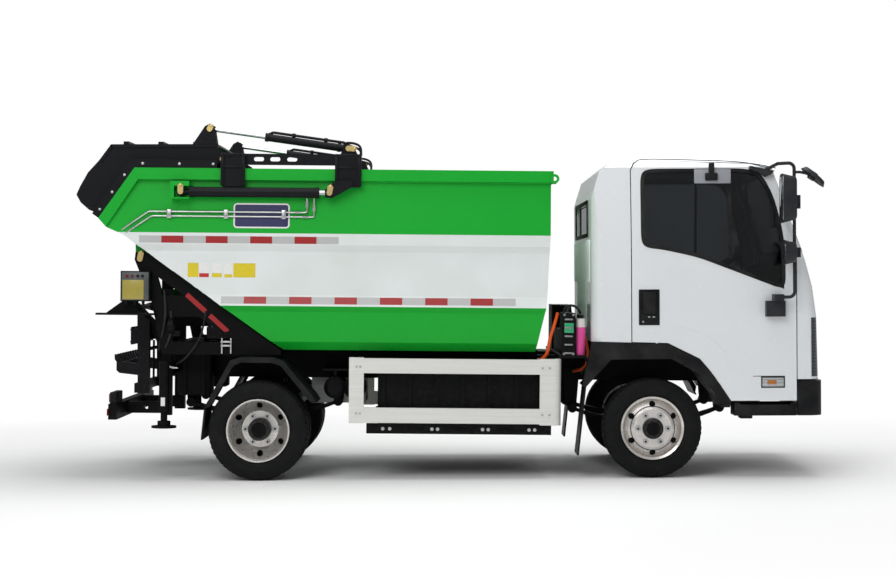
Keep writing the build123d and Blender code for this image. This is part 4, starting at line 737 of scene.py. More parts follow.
class TRUCK_OT_tapes(bpy.types.Operator):
    """Lay the red and white tapes on the tub's wall and the tower"""
    bl_idname = "truck.tapes"
    bl_label = "Reflective tapes"

    # first X, last X, middle height and number of lengths, white first
    ROWS = [(-2213.0, -800.0, 1690.0, 9), (-1632.0, 456.0, 1264.0, 13)]

    def execute(self, context):
        half = sizes().tape_width / MM / 2
        for colour, first in (("red", 1), ("white", 0)):
            lengths = []
            for start, end, middle, count in self.ROWS:
                step = (end - start) / count
                lengths += [((start + step * index + 0.6, start + step * (index + 1) - 0.6),
                             (middle - half, middle + half), 1.2) for index in range(first, count, 2)]
            fit(f"tub_tape_{colour}", f"{colour}_tape", "tub_green", "tub", both=True, walls=lengths)
        strips = []
        for start, end in (((-1888, 1299), (-1752, 1178)), ((-1722, 1151), (-1594, 1036))):
            lean = Vector((end[0] - start[0], end[1] - start[1])).normalized()
            across = Vector((-lean.y, lean.x)) * 17
            outline = [(x + across.x, z + across.y) for x, z in (start, end)]
            outline += [(x - across.x, z - across.y) for x, z in (end, start)]
            strips.append((outline, -821.4, -819.8))
        fit_frame("tower_tape", "red_tape", "frame_black", both=True, plates=strips)
        return {"FINISHED"}


class TRUCK_OT_pin_heads(bpy.types.Operator):
    """Build the plated pin heads with their keeper plates and bolts"""
    bl_idname = "truck.pin_heads"
    bl_label = "Pin heads"

    # per body: X, height, distance from the middle, the keeper's turn and its reach
    PINS = {
        "tub": [(SLIDE_BASE_X, SLIDE_Z, 1001.0, 90, 44)],
        "chassis": [(*TUB_HINGE, 828.0, 80, 44)],
        "carriage": [(*SWING_BASE, 885.0, 0, 44), (*BLADE_HINGE, 905.0, 20, 44),
                     (SLIDE_EYE_X, SLIDE_Z, 990.0, 80, 44)],
        "swing_rods": [(*BLADE_LUG, 874.0, 65, 22)],
        "lift_rods": [(-1750.0, 1240.0, 272.0, 30, 44)],
    }

    def execute(self, context):
        for body, pins in self.PINS.items():
            shapes = {"rods": [], "plates": [], "bolts": []}
            for x, z, face, turn, reach in pins:
                lean = Vector((cos(radians(turn)), 0, sin(radians(turn))))
                centre = Vector((x, -face, z))
                far = centre + lean * reach
                across = Vector((-lean.z, 0, lean.x)) * 20
                outline = [centre - across, far - across, far + lean * 18, far + across, centre + across]
                shapes["rods"].append((centre + Vector((0, 14, 0)), centre - Vector((0, 9, 0)), 21, 20))
                shapes["plates"].append(([(p.x, p.z) for p in outline], -face - 6, -face))
                shapes["bolts"].append((far - Vector((0, 6, 0)), OUT, 10))
            fit_frame("pin_heads_" + body, "yellow_zinc", "rod_chrome", body, both=True, **shapes)
        return {"FINISHED"}


class TRUCK_OT_pipes(bpy.types.Operator):
    """Run the steel pipes along the tub's wall, with their clamps and unions"""
    bl_idname = "truck.pipes"
    bl_label = "Hydraulic pipes"

    def execute(self, context):
        radius = sizes().pipe_radius / MM
        wall = -tub_y(1870) - 13
        routes = [
            [(-2355, -905, 1742), (-2340, wall, 1752), (-2150, wall, 1882), (-2140, wall, 1886),
             (-2100, wall, 1886), (-1100, wall, 1886), (-1034, wall, 1886), (-1026, wall, 1892),
             (-1026, wall, 1930), (-1026, wall - 16, 1986)],
            [(-2322, -905, 1722), (-2308, wall, 1732), (-2130, wall, 1850), (-2118, wall, 1854),
             (-2080, wall, 1854), (-1050, wall, 1854), (-984, wall, 1854), (-976, wall, 1860),
             (-976, wall, 1900), (-976, wall - 16, 1986)],
        ]
        put = partial(fit, look="bright_zinc", slot="rod_chrome", body="tub", both=True)
        put("tub_pipes", tubes=[(route, radius) for route in routes])
        clamps = (-2000, -1598, -1190)
        unions, risers = ((-1090, 1886), (-1040, 1854)), ((-1026, 1940), (-976, 1915))
        put("pipe_clamps",
            blocks=[((x - 16, x + 16), (wall - 12, wall + 12), (1838, 1902), 4) for x in clamps],
            bolts=[((x, wall - 12, 1870), OUT, 8) for x in clamps],
            rods=[((x - 20, wall, z), (x + 22, wall, z), 11, None, 6) for x, z in unions]
            + [((x, wall - 4, z - 16), (x, wall - 8, z + 20), 11, None, 6) for x, z in risers])

        # supply pipes on top of the swing cylinders, from places along and above their axis
        base = Vector((SWING_BASE[0], -SWING_Y, SWING_BASE[1]))
        line = (Vector((BLADE_LUG[0], -SWING_Y, BLADE_LUG[1])) - base).normalized()
        up = Vector((-line.z, 0, line.x)) * (-1 if line.x < 0 else 1)

        def spot(reach, rise=0):
            return tuple(base + line * reach + up * rise)

        route = [spot(30, 24), spot(30, 40), spot(60, 40), spot(520, 40), spot(560, 40), spot(565, 24)]
        fit("swing_cylinder_pipes", "charcoal_enamel", "charcoal", "swing_barrels", both=True,
            tubes=[(route, 10)],
            rods=[(spot(reach - 12, 40), spot(reach + 12, 40), 15, None, 12) for reach in (170, 400)]
            + [(spot(reach, 20), spot(reach, 36), 14, None, 6) for reach in (30, 565)])

        # the cylinders' heads, as turned collars
        fit("slide_cylinder_collars", "charcoal_enamel", "charcoal", "tub", both=True,
            rods=[((x - 13, -SLIDE_Y, SLIDE_Z), (x + 13, -SLIDE_Y, SLIDE_Z), 40, None, 32)
                  for x in (SLIDE_BASE_X + 74, -956)])
        fit("swing_cylinder_collars", "charcoal_enamel", "charcoal", "swing_barrels", both=True,
            rods=[(spot(reach - 12), spot(reach + 12), 31, None, 32) for reach in (70, 588)])
        return {"FINISHED"}


class TRUCK_OT_tub_fittings(bpy.types.Operator):
    """Build the tub's blank plates, seal strip bolts, lifting lugs and weld beads"""
    bl_idname = "truck.tub_fittings"
    bl_label = "Tub fittings"

    # blank plates on the middle panel: first X, last X, low Z and high Z
    PLATES = {
        "yellow": [(-1872, -1796, 1424, 1524), (-1548, -1392, 1424, 1524), (-1700, -1630, 1424, 1452),
                   (-1612, -1556, 1424, 1444)],
        "white": [(-1790, -1722, 1452, 1524), (-1700, -1630, 1453, 1524), (-1612, -1556, 1445, 1524)],
        "red": [(-1790, -1722, 1424, 1451)],
    }

    def execute(self, context):
        put = partial(fit, slot="tub_green", body="tub", both=True)
        for colour, places in self.PLATES.items():
            put(f"wall_plates_{colour}", f"{colour}_plate", walls=[(row[:2], row[2:], 1.4) for row in places])
        # blank badge plate under the pipes: pale border, dark field
        for part, look, shrink, lift in (("border", "white_plate", 0, 1.5), ("field", "navy_plate", 11, 2.4)):
            x_span, z_span = (-1547 + shrink, -1149 - shrink), (1773 + shrink, 1950 - shrink)
            put(f"badge_{part}", look, walls=[(x_span, z_span, lift, 26 - shrink)])
        places = ((-1692, 2224), (-1930, 2224), (-2190, 2224), (-2318, 2142), (-2404, 2020), (-2490, 1897))
        fit("seal_strip_bolts", "bright_zinc", "rod_chrome", "tub", both=True,
            bolts=[((x, -936, z), OUT, 7) for x, z in places])
        turns = [2 * pi * step / 16 for step in range(17)]
        put("tub_lugs", "green_enamel", plates=[
            ([(722 + reach * cos(a), 2140 + reach * sin(a)) for reach, a in (
                (15, turn), (33, turn), (33, after), (15, after))], -RIM_OUT - 12, -RIM_OUT + 3)
            for turn, after in zip(turns, turns[1:])])
        weld_y = -tub_y(2110) - 2
        put("rim_weld", "green_enamel", rods=[((-2200, weld_y, 2110), (736, weld_y, 2110), 6, None, 8)])
        put("front_wall_ribs", "green_enamel", both=False,
            blocks=[((694, 708), (y - 30, y + 30), (1760, 2100), 6) for y in (-560, -190, 190, 560)])
        return {"FINISHED"}


class TRUCK_OT_carriage_fittings(bpy.types.Operator):
    """Build the carriage's bolted shoe plates and hoses"""
    bl_idname = "truck.carriage_fittings"
    bl_label = "Carriage fittings"

    def execute(self, context):
        put = partial(fit, slot="charcoal", body="carriage", both=True)
        frames, bolts = [], []
        for rear, front in SHOE_X:
            face = -SHOE_FACE_Y
            # raised frame round each shoe, with a lifted window at its top
            frames += [(x_span, (face - 12, face + 4), (2070, 2300), 3)
                       for x_span in ((rear - 10, rear + 14), (front - 14, front + 10))]
            frames += [((rear + 14, front - 14), (face - 10, face + 4), (z, z + 16), 3) for z in (2196, 2284)]
            bolts += [((x, face - 12, z), OUT, 6) for x in (rear + 2, front - 2) for z in (2088, 2284)]
        put("shoe_frames", "charcoal_enamel", blocks=frames)
        put("shoe_bolts", "charcoal_enamel", bolts=bolts)
        hose = sizes().hose_radius / MM
        put("carriage_hoses", "hose_rubber", tubes=[
            ([(-660, -860 + offset, 2280), (-640, -850 + offset, 2350 - offset),
              (-700, -838 + offset, 2392 - offset), (-760, -835, 2388 - offset)], hose)
            for offset in (0, 26)])
        return {"FINISHED"}


class TRUCK_OT_blade_fittings(bpy.types.Operator):
    """Build the blade's edge strips and bolts"""
    bl_idname = "truck.blade_fittings"
    bl_label = "Blade fittings"

    def execute(self, context):
        bars = []
        line = [(-1680, 2364), (-2426, 2356), (-2506, 2242)]
        for start, end in zip(line, line[1:]):
            lean = Vector((end[0] - start[0], end[1] - start[1])).normalized() * 16
            inner = [(x - lean.y, z - abs(lean.x) - 2) for x, z in (end, start)]
            bars.append(([start, end, *inner], -878, -868))
        fit("blade_edge_bars", "charcoal_enamel", "charcoal", "blade", both=True, plates=bars,
            bolts=[((x, -871, 2410), OUT, 8) for x in (-1760, -1690)])
        return {"FINISHED"}


def rounded(outline, reach, steps=4):
    """An outline with rounded corners, each no larger than its shorter side allows."""
    points = []
    for before, corner, after in zip(outline[-1:] + outline[:-1], outline, outline[1:] + outline[:1]):
        ends = [along(corner, far, min(reach / dist(corner, far), 0.45)) for far in (before, after)]
        for step in range(steps + 1):
            share = step / steps
            points.append(along(along(ends[0], corner, share), along(corner, ends[1], share), share))
    return points


def window_trim(bm, outline, width, lift, sign):
    """A rubber band round a side window, from its glass to just proud of the cab's side."""
    points = []
    for start, end in zip(outline, outline[1:] + outline[:1]):
        pieces = max(1, round(dist(start, end) / 60))
        points += [along(start, end, index / pieces) for index in range(pieces)]
    sections = []
    for before, point, after in zip(points[-1:] + points[:-1], points, points[1:] + points[:1]):
        run = Vector((after[0] - before[0], after[1] - before[1])).normalized()
        inner = (point[0] - run.y * width, point[1] + run.x * width)
        sections.append([bm.verts.new((x, sign * (cab_y(z) + rise), z)) for (x, z), rise in (
            (point, -12), (inner, -12), (inner, lift), (point, lift))])
    for here, there in zip(sections, sections[1:] + sections[:1]):
        for index in range(4):
            bm.faces.new((here[index - 1], here[index], there[index], there[index - 1]))


class TRUCK_OT_doors(bpy.types.Operator):
    """Build the doors' window rubbers, handles, creases, side indicators and mirror glasses"""
    bl_idname = "truck.doors"
    bl_label = "Door fittings"

    def execute(self, context):
        for side, sign in SIDES.items():
            self.window(side, sign)
            self.panel(side, sign)
            self.mirror(side, sign)
            if side == "right":
                self.camera()
        return {"FINISHED"}

    def window(self, side, sign):
        """The rubber round the window, and the bar that divides it."""
        rubber, bar = bmesh.new(), bmesh.new()
        grown = [(x + (9 if x > 1800 else -9), z + (9 if z > 1900 else -9)) for x, z in DOOR_WINDOW]
        window_trim(rubber, rounded(grown, 80), sizes().trim_width / MM, 3.0, sign)
        keep(rubber, f"window_rubber_{side}", "seal_rubber", f"door_{side}")
        foot, length, count = 1560, 628, 6
        for step in range(count):
            low, high = (foot + length * share / count for share in (step, step + 1))
            for vert in block(bar, (1973, 1997), (-5, 5), (low, high)):
                vert.co.y = sign * (cab_y(low if vert.co.z < (low + high) / 2 else high) - 13 + vert.co.y)
        keep(bar, f"window_bar_{side}", "seal_rubber", f"door_{side}")

    def panel(self, side, sign):
        """The handle, the crease that follows the wheel arch, and the side indicator."""
        put = partial(fit, body=f"door_{side}")

        def out(*reach):
            return tuple(sign * (CAB_HALF_W + r) for r in reach)

        put(f"handle_plate_{side}", "gloss_moulding", "black_plastic",
            blocks=[((1333, 1481), out(-4, 6), (1087, 1341), 5)])
        put(f"handle_grip_{side}", "black_moulding", "black_plastic",
            blocks=[((1352, 1462), out(6, 13), (1130, 1160), 5), ((1362, 1452), out(6, 22), (1168, 1322), 9)],
            rods=[((1362, *out(4), 1112), (1362, *out(11), 1112), 11, None, 20)])
        put(f"handle_lock_{side}", "bright_zinc", "rod_chrome",
            rods=[((1362, *out(10), 1112), (1362, *out(12.5), 1112), 7, None, 20)],
            blocks=[(x_span, out(12, 14), (1142, 1150), 1) for x_span in ((1396, 1412), (1430, 1448))])
        arc = [(1600, 1075), (1700, 1062), (1790, 1028), (1870, 975), (1935, 905), (1985, 820)]
        put(f"arch_crease_{side}", "cab_enamel", "cab_white",
            tubes=[([(x, *out(-1.0), z) for x, z in arc], 3.0)])
        put(f"indicator_lens_{side}", "clear_lens", "lamp",
            blocks=[((2205, 2358), out(-4, 9), (647, 712), 7)])
        put(f"indicator_amber_{side}", "amber_lens", "lamp",
            blocks=[((2240, 2305), out(9, 10.4), (664, 694), 0.6)])
        put(f"indicator_bezel_{side}", "mirror_shell", "black_plastic",
            blocks=[((2197, 2366), out(-2, 4), (639, 720), 4), ((2140, 2366), out(-2, 2.4), (720, 724), 1)])

    def mirror(self, side, sign):
        """The mirrors' glasses, and the bolts and cap of their pole's clamps."""
        put = partial(fit, slot="black_plastic", body=f"door_{side}")
        put(f"mirror_glass_{side}", "mirror_glass",
            blocks=[((2319, 2324), (sign * (MIRROR_Y - 64), sign * (MIRROR_Y + 64)), (1823, 2127), 1.8)],
            rods=[((2333, sign * MIRROR_Y, 1597), (2338, sign * MIRROR_Y, 1597), 72, None, 40)])
        ends = [(2440, POLE_Y + 20, POLE_Y + 29, z, 9, 6) for z in (1922, 1982, 1597)]
        ends += [(x, 961, 967, 1200, 8, 6) for x in (2244, 2346)]
        ends += [(2311, POLE_Y + 6, POLE_Y + 22, 1279, 15, 20)]
        put(f"mirror_clamps_{side}", "mirror_shell", rods=[
            ((x, sign * inner, z), (x, sign * outer, z), radius, None, sides)
            for x, inner, outer, z, radius, sides in ends])

    def camera(self):
        """The grey camera panel on the right door's upper frame."""
        face = -cab_y(2142)
        fit("camera_panel", "silver_moulding", "black_plastic", "door_right",
            blocks=[((1736, 1997), (face - 7, face + 6), (2092, 2193), 6)])
        fit("camera_eye", "black_moulding", "black_plastic", "door_right",
            blocks=[((1812, 1900), (face - 34, face - 6), (2112, 2166), 7),
                    ((1838, 1878), (face - 22, face - 5), (2160, 2238), 4)],
            rods=[((1856, face - 33, 2139), (1856, face - 40, 2139), 19, 17, 24)])


def front_x(y, z):
    """X of the cab's front at a place, from its bowed plan."""
    for (low_x, low_z), (high_x, high_z) in zip(FRONT_LINE, FRONT_LINE[1:]):
        if low_z <= z <= high_z:
            middle = low_x + (high_x - low_x) * (z - low_z) / (high_z - low_z)
            break
    reach = abs(y)
    knee = FRONT_HALF_W - FRONT_CORNER_R
    bow = (knee ** 2 + FRONT_BOW ** 2) / (2 * FRONT_BOW)
    if reach <= knee:
        return middle - bow + sqrt(bow ** 2 - reach ** 2)
    return middle - FRONT_BOW - FRONT_CORNER_R + sqrt(FRONT_CORNER_R ** 2 - (reach - knee) ** 2)


def on_screen(y, z, lift):
    """A point just proud of the windscreen, which leans back."""
    return (front_x(y, z) - 14 + lift, y, z + lift * 0.3)


class TRUCK_OT_cab_outside(bpy.types.Operator):
    """Build the cab's rear ribs, window rubbers, wipers, grille, lamp bowls, step pads and gutters"""
    bl_idname = "truck.cab_outside"
    bl_label = "Cab outside"

    def execute(self, context):
        put = partial(fit, slot="black_plastic")
        fit("cab_back_ribs", "cab_enamel", "cab_white", blocks=[
            (CAB_BACK_X, (y - 16, y + 16), (1060 if abs(y) <= 400 else 1390, 1700), 6)
            for y in range(-720, 721, 80)])
        put("rear_window_rubber", "seal_rubber", blocks=[
            ((992, 1004), y_span, z_span, 4) for y_span, z_span in (
                ((-575, 575), (1961, 1990)), ((-575, 575), (1720, 1749)), ((-575, -546), (1720, 1990)),
                ((546, 575), (1720, 1990)))])

        corners = [(-745, 1600), (-700, 2168), (700, 2168), (745, 1600)]
        loop = [on_screen(*along(start, end, step / 8), 12)
                for start, end in zip(corners, corners[1:] + corners[:1]) for step in range(8)]
        put("screen_rubber", "seal_rubber", tubes=[(loop + loop[:1], 15, False)])

        spindles, arms = [], []
        for y in (-430, 240):
            foot, tip = on_screen(y, 1620, 12), on_screen(y + 380, 1700, 16)
            spindles.append((on_screen(y, 1600, -6), foot, 16, None, 16))
            arms += [([foot, on_screen(y + 190, 1672, 26), tip], 6),
                     ([on_screen(y + 180, 1745, 14), tip, on_screen(y + 560, 1660, 14)], 5)]
        put("wipers", "black_moulding", rods=spindles, tubes=arms)
        put("grille_bars", "gloss_moulding", tubes=[
            ([(front_x(y, z) - 5, y, z) for y in range(-640, 641, 160)], 9) for z in range(1180, 1365, 46)])

        lamps = [(front_x(y, z), -y, z) for y in (640, 745) for z in (800, 900, 1010)]
        for name, look, inner, outer, radius, end in (("lamp_bowls", "mirror_glass", -6, 3, 36, 38),
                                                      ("lamp_bezels", "gloss_moulding", -4, 1.5, 43, None)):
            fit(name, look, "lamp", both=True,
                rods=[((x + inner, y, z), (x + outer, y, z), radius, end, 28) for x, y, z in lamps])

        put("bumper_intake", "gloss_moulding", tubes=[
            ([(2646 - FRONT_BOW * (y / 805) ** 2, y, z) for y in range(-460, 461, 115)], 9)
            for z in (490, 540, 590)])
        put("step_treads", "seal_rubber", both=True,
            blocks=[((2062, 2398), (-y - 6, -y + 6), (468, 476), 2) for y in (770, 800, 830, 860)])
        put("step_side_strips", "black_moulding", both=True,
            blocks=[((2050, 2140), (-880, -780), (420, 444), 8),
                    ((2030, 2440), (-897, -893), (470, 520), 1.5)])
        edge = ((1290, 2203), (1312, 2255), (1382, 2271), (1700, 2262), (2138, 2246), (2318, 2200))
        put("roof_gutters", "seal_rubber",
            tubes=[([(x, sign * (cab_y(z) + 1), z) for x, z in edge], 3.2) for sign in (-1, 1)])
        return {"FINISHED"}


class TRUCK_OT_cab_inside(bpy.types.Operator):
    """Build the padded seats and the dashboard's panels"""
    bl_idname = "truck.cab_inside"
    bl_label = "Cab inside"

    SEATS = {"driver": 430.0, "mate": -430.0}

    def execute(self, context):
        for name, y in self.SEATS.items():
            for part, x_span, half, z_span, lean in (("base", (1230, 1755), 245, (1180, 1315), 0),
                                                     ("back", (1190, 1300), 235, (1330, 1800), -9),
                                                     ("head", (1130, 1215), 130, (1815, 1975), -9)):
                bm = self.cushion(x_span, (y - half, y + half), z_span, lean)
                piece = keep(bm, f"{name}_seat_{part}", "seat_cloth", smooth=180)
                if name == "driver" and part == "base":
                    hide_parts("seats")
        places = self.SEATS.values()
        put = partial(fit, slot="dash_grey")
        put("seat_frames", "dash_moulding",
            blocks=[((1250, 1735), (y - 225, y + 225), (1120, 1185), 12) for y in places]
            + [((1290, 1710), (y - 190, y + 190), (1016, 1122), 10) for y in places],
            rods=[((1215, y + offset, 1780), (1180, y + offset, 1850), 7, None, 14)
                  for y in places for offset in (-70, 70)])
        put("dash_panels", "gloss_moulding",
            blocks=[((2222, 2238), (260, 600), (1260, 1370), 6),
                    ((2222, 2238), (-180, 180), (1190, 1370), 6)])
        put("dash_vents", "dash_moulding", blocks=[
            ((2218, 2234), (y - 50, y + 50), (z, z + 7), 2)
            for y in (-620, -300, 220, 640) for z in (1290, 1306, 1322, 1338)])
        return {"FINISHED"}

    def cushion(self, x_span, y_span, z_span, lean):
        """A crowned pad with a sewn welt sunk round its middle, leaned back about its foot."""
        bm = bmesh.new()
        block(bm, x_span, y_span, z_span)
        bmesh.ops.subdivide_edges(bm, edges=bm.edges[:], cuts=9, use_grid_fill=True)
        centre = Vector([sum(span) / 2 for span in (x_span, y_span, z_span)])
        half = [abs(span[1] - span[0]) / 2 for span in (x_span, y_span, z_span)]
        for vert in bm.verts:
            share = [(vert.co[axis] - centre[axis]) / half[axis] for axis in range(3)]
            for axis in range(3):
                pull = max(abs(share[other]) ** 4 for other in range(3) if other != axis)
                vert.co[axis] = centre[axis] + share[axis] * half[axis] * (1 - 0.16 * pull)
            if abs(share[1]) > 0.55 and abs(abs(share[1]) - 0.62) < 0.13:
                vert.co.x += (centre.x - vert.co.x) * 0.05
                vert.co.z += (centre.z - vert.co.z) * 0.05
        bmesh.ops.smooth_vert(bm, verts=bm.verts[:], factor=0.4, use_axis_x=True, use_axis_y=True,
                              use_axis_z=True)
        if lean:
            turn = Matrix.Rotation(radians(lean), 3, "Y")
            bmesh.ops.rotate(bm, cent=(x_span[1], 0, z_span[0]), matrix=turn, verts=bm.verts[:])
        return bm


class TRUCK_OT_power_unit(bpy.types.Operator):
    """Build the power unit's bottles, blank label, cables, hoses and fins"""
    bl_idname = "truck.power_unit"
    bl_label = "Power unit"

    def execute(self, context):
        put = partial(fit_frame, slot="black_plastic")
        for name, look, low, high, radius, end, sides in (
                ("coolant_bottles", "coolant_moulding", 892, 1090, 36, None, 28),
                ("bottle_tops", "bottle_moulding", 1090, 1152, 36, 34, 28),
                ("bottle_caps", "black_moulding", 1152, 1178, 22, 20, 16)):
            put(name, look, rods=[((925, y, low), (925, y, high), radius, end, sides) for y in (-790, -690)])
        put("power_unit_label", "green_plate", blocks=[((806, 872), (-852, -849), (1050, 1120), 1)])
        put("high_voltage_cables", "cable_sheath", tubes=[
            ([(760, -800, 1190), (735, -830, 1100), (700, -850, 1000), (690, -840, 900), (640, -800, 850),
              (560, -790, 790)], 12),
            ([(945, -640, 1080), (975, -700, 990), (985, -760, 860), (960, -700, 780),
              (900, -500, 760)], 12)])
        put("power_unit_hoses", "hose_rubber", tubes=[
            ([(925, -790, 900), (975, -800, 870), (985, -780, 800), (940, -700, 760)], 11),
            ([(800, -845, 1190), (800, -850, 1230), (850, -840, 1250), (905, -800, 1230),
              (925, -760, 1190)], 9),
            ([(840, -560, 1180), (860, -500, 1230), (880, -420, 1200), (880, -300, 1060)], 12)])
        fit_frame("power_unit_fins", "cast_aluminium", "motor_grey",
                  blocks=[((808, 866), (-858, -849), (z - 20, z - 8), 2) for z in range(920, 1161, 60)],
                  bolts=[((x, -852, z), OUT, 7) for x in (805, 870) for z in (900, 1178)])
        return {"FINISHED"}


class TRUCK_OT_chassis_fittings(bpy.types.Operator):
    """Build the frame's bolts, spring clamps, tanks with a black sheet of painted shade, hoses, valves,
    labels and tail lamps
    """
    bl_idname = "truck.chassis_fittings"
    bl_label = "Chassis fittings"

    def execute(self, context):
        put = partial(fit_frame, slot="frame_black")
        fit_frame("guard_and_battery_bolts", "bright_zinc", "rod_chrome", both=True,
                  bolts=[((x, BEAM_FACE_Y, 358), OUT, 9) for x in (-480, -430, -130, -90, 230, 270, 560, 600)]
                  + [((x, GUARD_FACE_Y, z), OUT, 7) for x in (-667, -640, 650, 700) for z in (470, 800)])
        put("battery_beam_slots", "chassis_enamel", both=True,
            blocks=[(x_span, (-871, -866), (346, 370), 2)
                    for x_span in ((-300, -190), (10, 160), (330, 470))])
        self.spring_clamps()
        # painted shade: the plain black sheet behind the tanks stands for the shade in the well under the
        # tub's rear, and the black tanks fill the same dark region
        put("hydraulic_tanks", "chassis_enamel", both=True,
            blocks=[((-1990, -1742), (-556, -384), (566, 900), 18)]
            + [((x - 18, x + 18), (-561, -380), (562, 904), 4) for x in (-1940, -1800)],
            rods=[((-1870, -470, 898), (-1870, -470, 926), 34, None, 28)],
            plates=[([(-2050, 1060), (-1700, 1060), (-1700, 1222), (-2050, 1222)], -378, -372)])
        self.air_reservoirs(put)
        hose = sizes().hose_radius / MM
        put("rear_hoses", "hose_rubber", tubes=[
            ([(-1750, -822, 1180), (-1765, -836, 1060), (-1800, -840, 960), (-1860, -838, 880),
              (-1905, -834, 830), (-1960, -800, 800)], 7),
            ([(-2050, -825, 1330), (-2030, -845, 1200), (-2045, -840, 1050), (-2080, -800, 960),
              (-2100, -700, 900)], hose),
            ([(-2000, -825, 1180), (-1985, -846, 1080), (-2010, -842, 960), (-2060, -790, 880)], hose)])
        columns = [-1725 + index * 40 for index in range(4)]
        put("valve_block", "battery_enamel",
            blocks=[((-1745, -1590), (-818, -770), (985, 1070), 6),
                    ((-1990, -1930), (-850, -822), (1000, 1040), 4)],
            rods=[((x, -794, 1068), (x, -794, 1100), 13, None, 18) for x in columns]
            + [((x, -816, 1024), (x, -832, 1024), 13, None, 6) for x in columns]
            + [((-2010, -845, 1075), (-1975, -845, 1075), 55, None, 32)])
        fit_frame("bright_clips", "bright_zinc", "rod_chrome",
                  blocks=[((-1640, -1560), (-846, -838), (z, z + 12), 2) for z in (930, 958)]
                  + [((x, x + 10), (-848, -838), (880, 990), 2) for x in (-1636, -1572)]
                  + [((x - 22, x + 22), (-870, -862), (z, z + 9), 2)
                     for x, z in ((-2012, 782), (-1985, 776), (-1960, 772))])
        put("leg_blank_labels", "white_plate", both=True,
            blocks=[((-2052, -2022), (-911, -908), (508, 568), 1)])
        fit_frame("tail_lamp_cases", "black_moulding", "black_plastic", both=True,
                  blocks=[((-2438, -2390), (-774, -536), (506, 594), 6)])
        fit_frame("tail_lamp_lenses", "red_lens", "lamp", both=True, blocks=[
            ((-2447, -2438), y_span, (522, 580), 3) for y_span in ((-765, -705), (-695, -635), (-625, -555))])
        fit_frame("rear_blank_plate", "white_plate", "cab_white",
                  blocks=[((-2452, -2446), (-240, 240), (418, 500), 1)])
        put("underrun_tape", "red_tape", blocks=[((-2447, -2444.5), (y - 60, y + 60), (430, 478), 0.4)
                                                 for y in range(-780, 781, 180) if abs(y) > 250])
        return {"FINISHED"}

    def spring_clamps(self):
        """The U-bolts and plates that hold each leaf spring to its axle."""
        shapes = {"rods": [], "bolts": [], "blocks": []}
        outer, inner = SPRING_EDGES_Y
        for centre, z in ((FRONT_AXLE_X, 338), (REAR_AXLE_X, 406)):
            for x in (centre - 62, centre + 62):
                shapes["rods"].append(((x, outer, z + 56), (x, inner, z + 56), 9, None, 14))
                for y in (outer, inner):
                    shapes["rods"].append(((x, y, z - 90), (x, y, z + 58), 9, None, 14))
                    shapes["bolts"].append(((x, y, z - 90), (0, 0, -1), 13))
            shapes["blocks"] += [((centre - 80, centre + 80), (-446, -368), (z - 92, z - 76), 4),
                                 ((centre - 70, centre + 70), (-446, -368), (z + 44, z + 56), 4)]
        fit("spring_clamps", "chassis_enamel", "frame_black", both=True, **shapes)

    def air_reservoirs(self, put):
        """Two reservoirs across the frame, with domed ends, straps and hangers."""
        shells, hangers = [], [((-920, -620), (-720, -352), (756, 772), 3)]
        for x in (-830, -690):
            shells += [((x, start, 640), (x, end, 640), 78, end_r, 32)
                       for start, end, end_r in ((-480, -760, None), (-760, -782, 52), (-480, -458, 52))]
            for y in (-540, -700):
                shells.append(((x, y - 12, 640), (x, y + 12, 640), 81, None, 32))
                hangers.append(((x - 12, x + 12), (y - 12, y + 12), (712, 760), 3))
        put("air_reservoirs", "chassis_enamel", rods=shells, blocks=hangers)


class TRUCK_OT_control_panel(bpy.types.Operator):
    """Build the control box's door, blank plate, lamps, knobs and cable glands"""
    bl_idname = "truck.control_panel"
    bl_label = "Control box"

    def execute(self, context):
        fit_frame("control_door", "control_enamel", "box_grey",
                  blocks=[((-2337, -2145), (CONTROL_FACE_Y, -904), (1256, 1455), 3)],
                  rods=[((-2150, -913, 1300), (-2150, -913, 1410), 6, None, 12)])
        fit_frame("control_blank_plate", "tan_plate", "box_grey",
                  blocks=[((-2330, -2180), (-913, -910), (1262, 1400), 1)])
        fit_frame("control_lamps", "red_lens", "lamp",
                  rods=[((x, CONTROL_FACE_Y, 1428), (x, CONTROL_FACE_Y - reach, 1428), radius, radius - 2, 18)
                        for x, reach, radius in ((-2300, 15, 11), (-2262, 13, 10))])
        fit_frame("control_knobs", "black_moulding", "black_plastic",
                  rods=[((x, CONTROL_FACE_Y, 1428), (x, CONTROL_FACE_Y - 11, 1428), 10, 9, 18)
                        for x in (-2222, -2188)]
                  + [((x, -866, 1249), (x, -866, 1222), 12, 9, 14) for x in (-2310, -2250, -2190)])
        return {"FINISHED"}


class TRUCK_OT_lifter_fittings(bpy.types.Operator):
    """Build the bin lifter's bolts, rubber stops and uprights"""
    bl_idname = "truck.lifter_fittings"
    bl_label = "Bin lifter fittings"

    def execute(self, context):
        back = (-1, 0, 0)
        fit("comb_bolts", "cast_iron", "rod_chrome", "comb", both=True,
            bolts=[((COMB_BACK_X, -y, z), back, 7) for z in (944, 1032) for y in (420, 445)]
            + [((-2250, -460, z), OUT, 7) for z in (620, 680, 860, 900, 1090)])
        fit("comb_rubber_stops", "seal_rubber", "black_plastic", "comb",
            rods=[((-2320, y, 605), (-2342, y, 605), 24, 20, 20) for y in (-300, -100, 100, 300)]
            + [((COMB_BACK_X, y, 990), (COMB_BACK_X - 13, y, 990), 20, 16, 20)
               for y in (-300, -100, 100, 300)])
        fit("comb_uprights", "charcoal_enamel", "charcoal", "comb",
            blocks=[((-2312, -2300), (y - 22, y + 22), (640, 930), 4) for y in (-310, -105, 105, 310)]
            + [((-2316, -2296), (-398, 398), (858, 884), 4)])
        fit("lifter_slide_bolts", "cast_iron", "rod_chrome", "lifter", both=True,
            bolts=[((-2154, -y, z), back, 9) for z in (925, 1040) for y in (315, 345)])
        return {"FINISHED"}


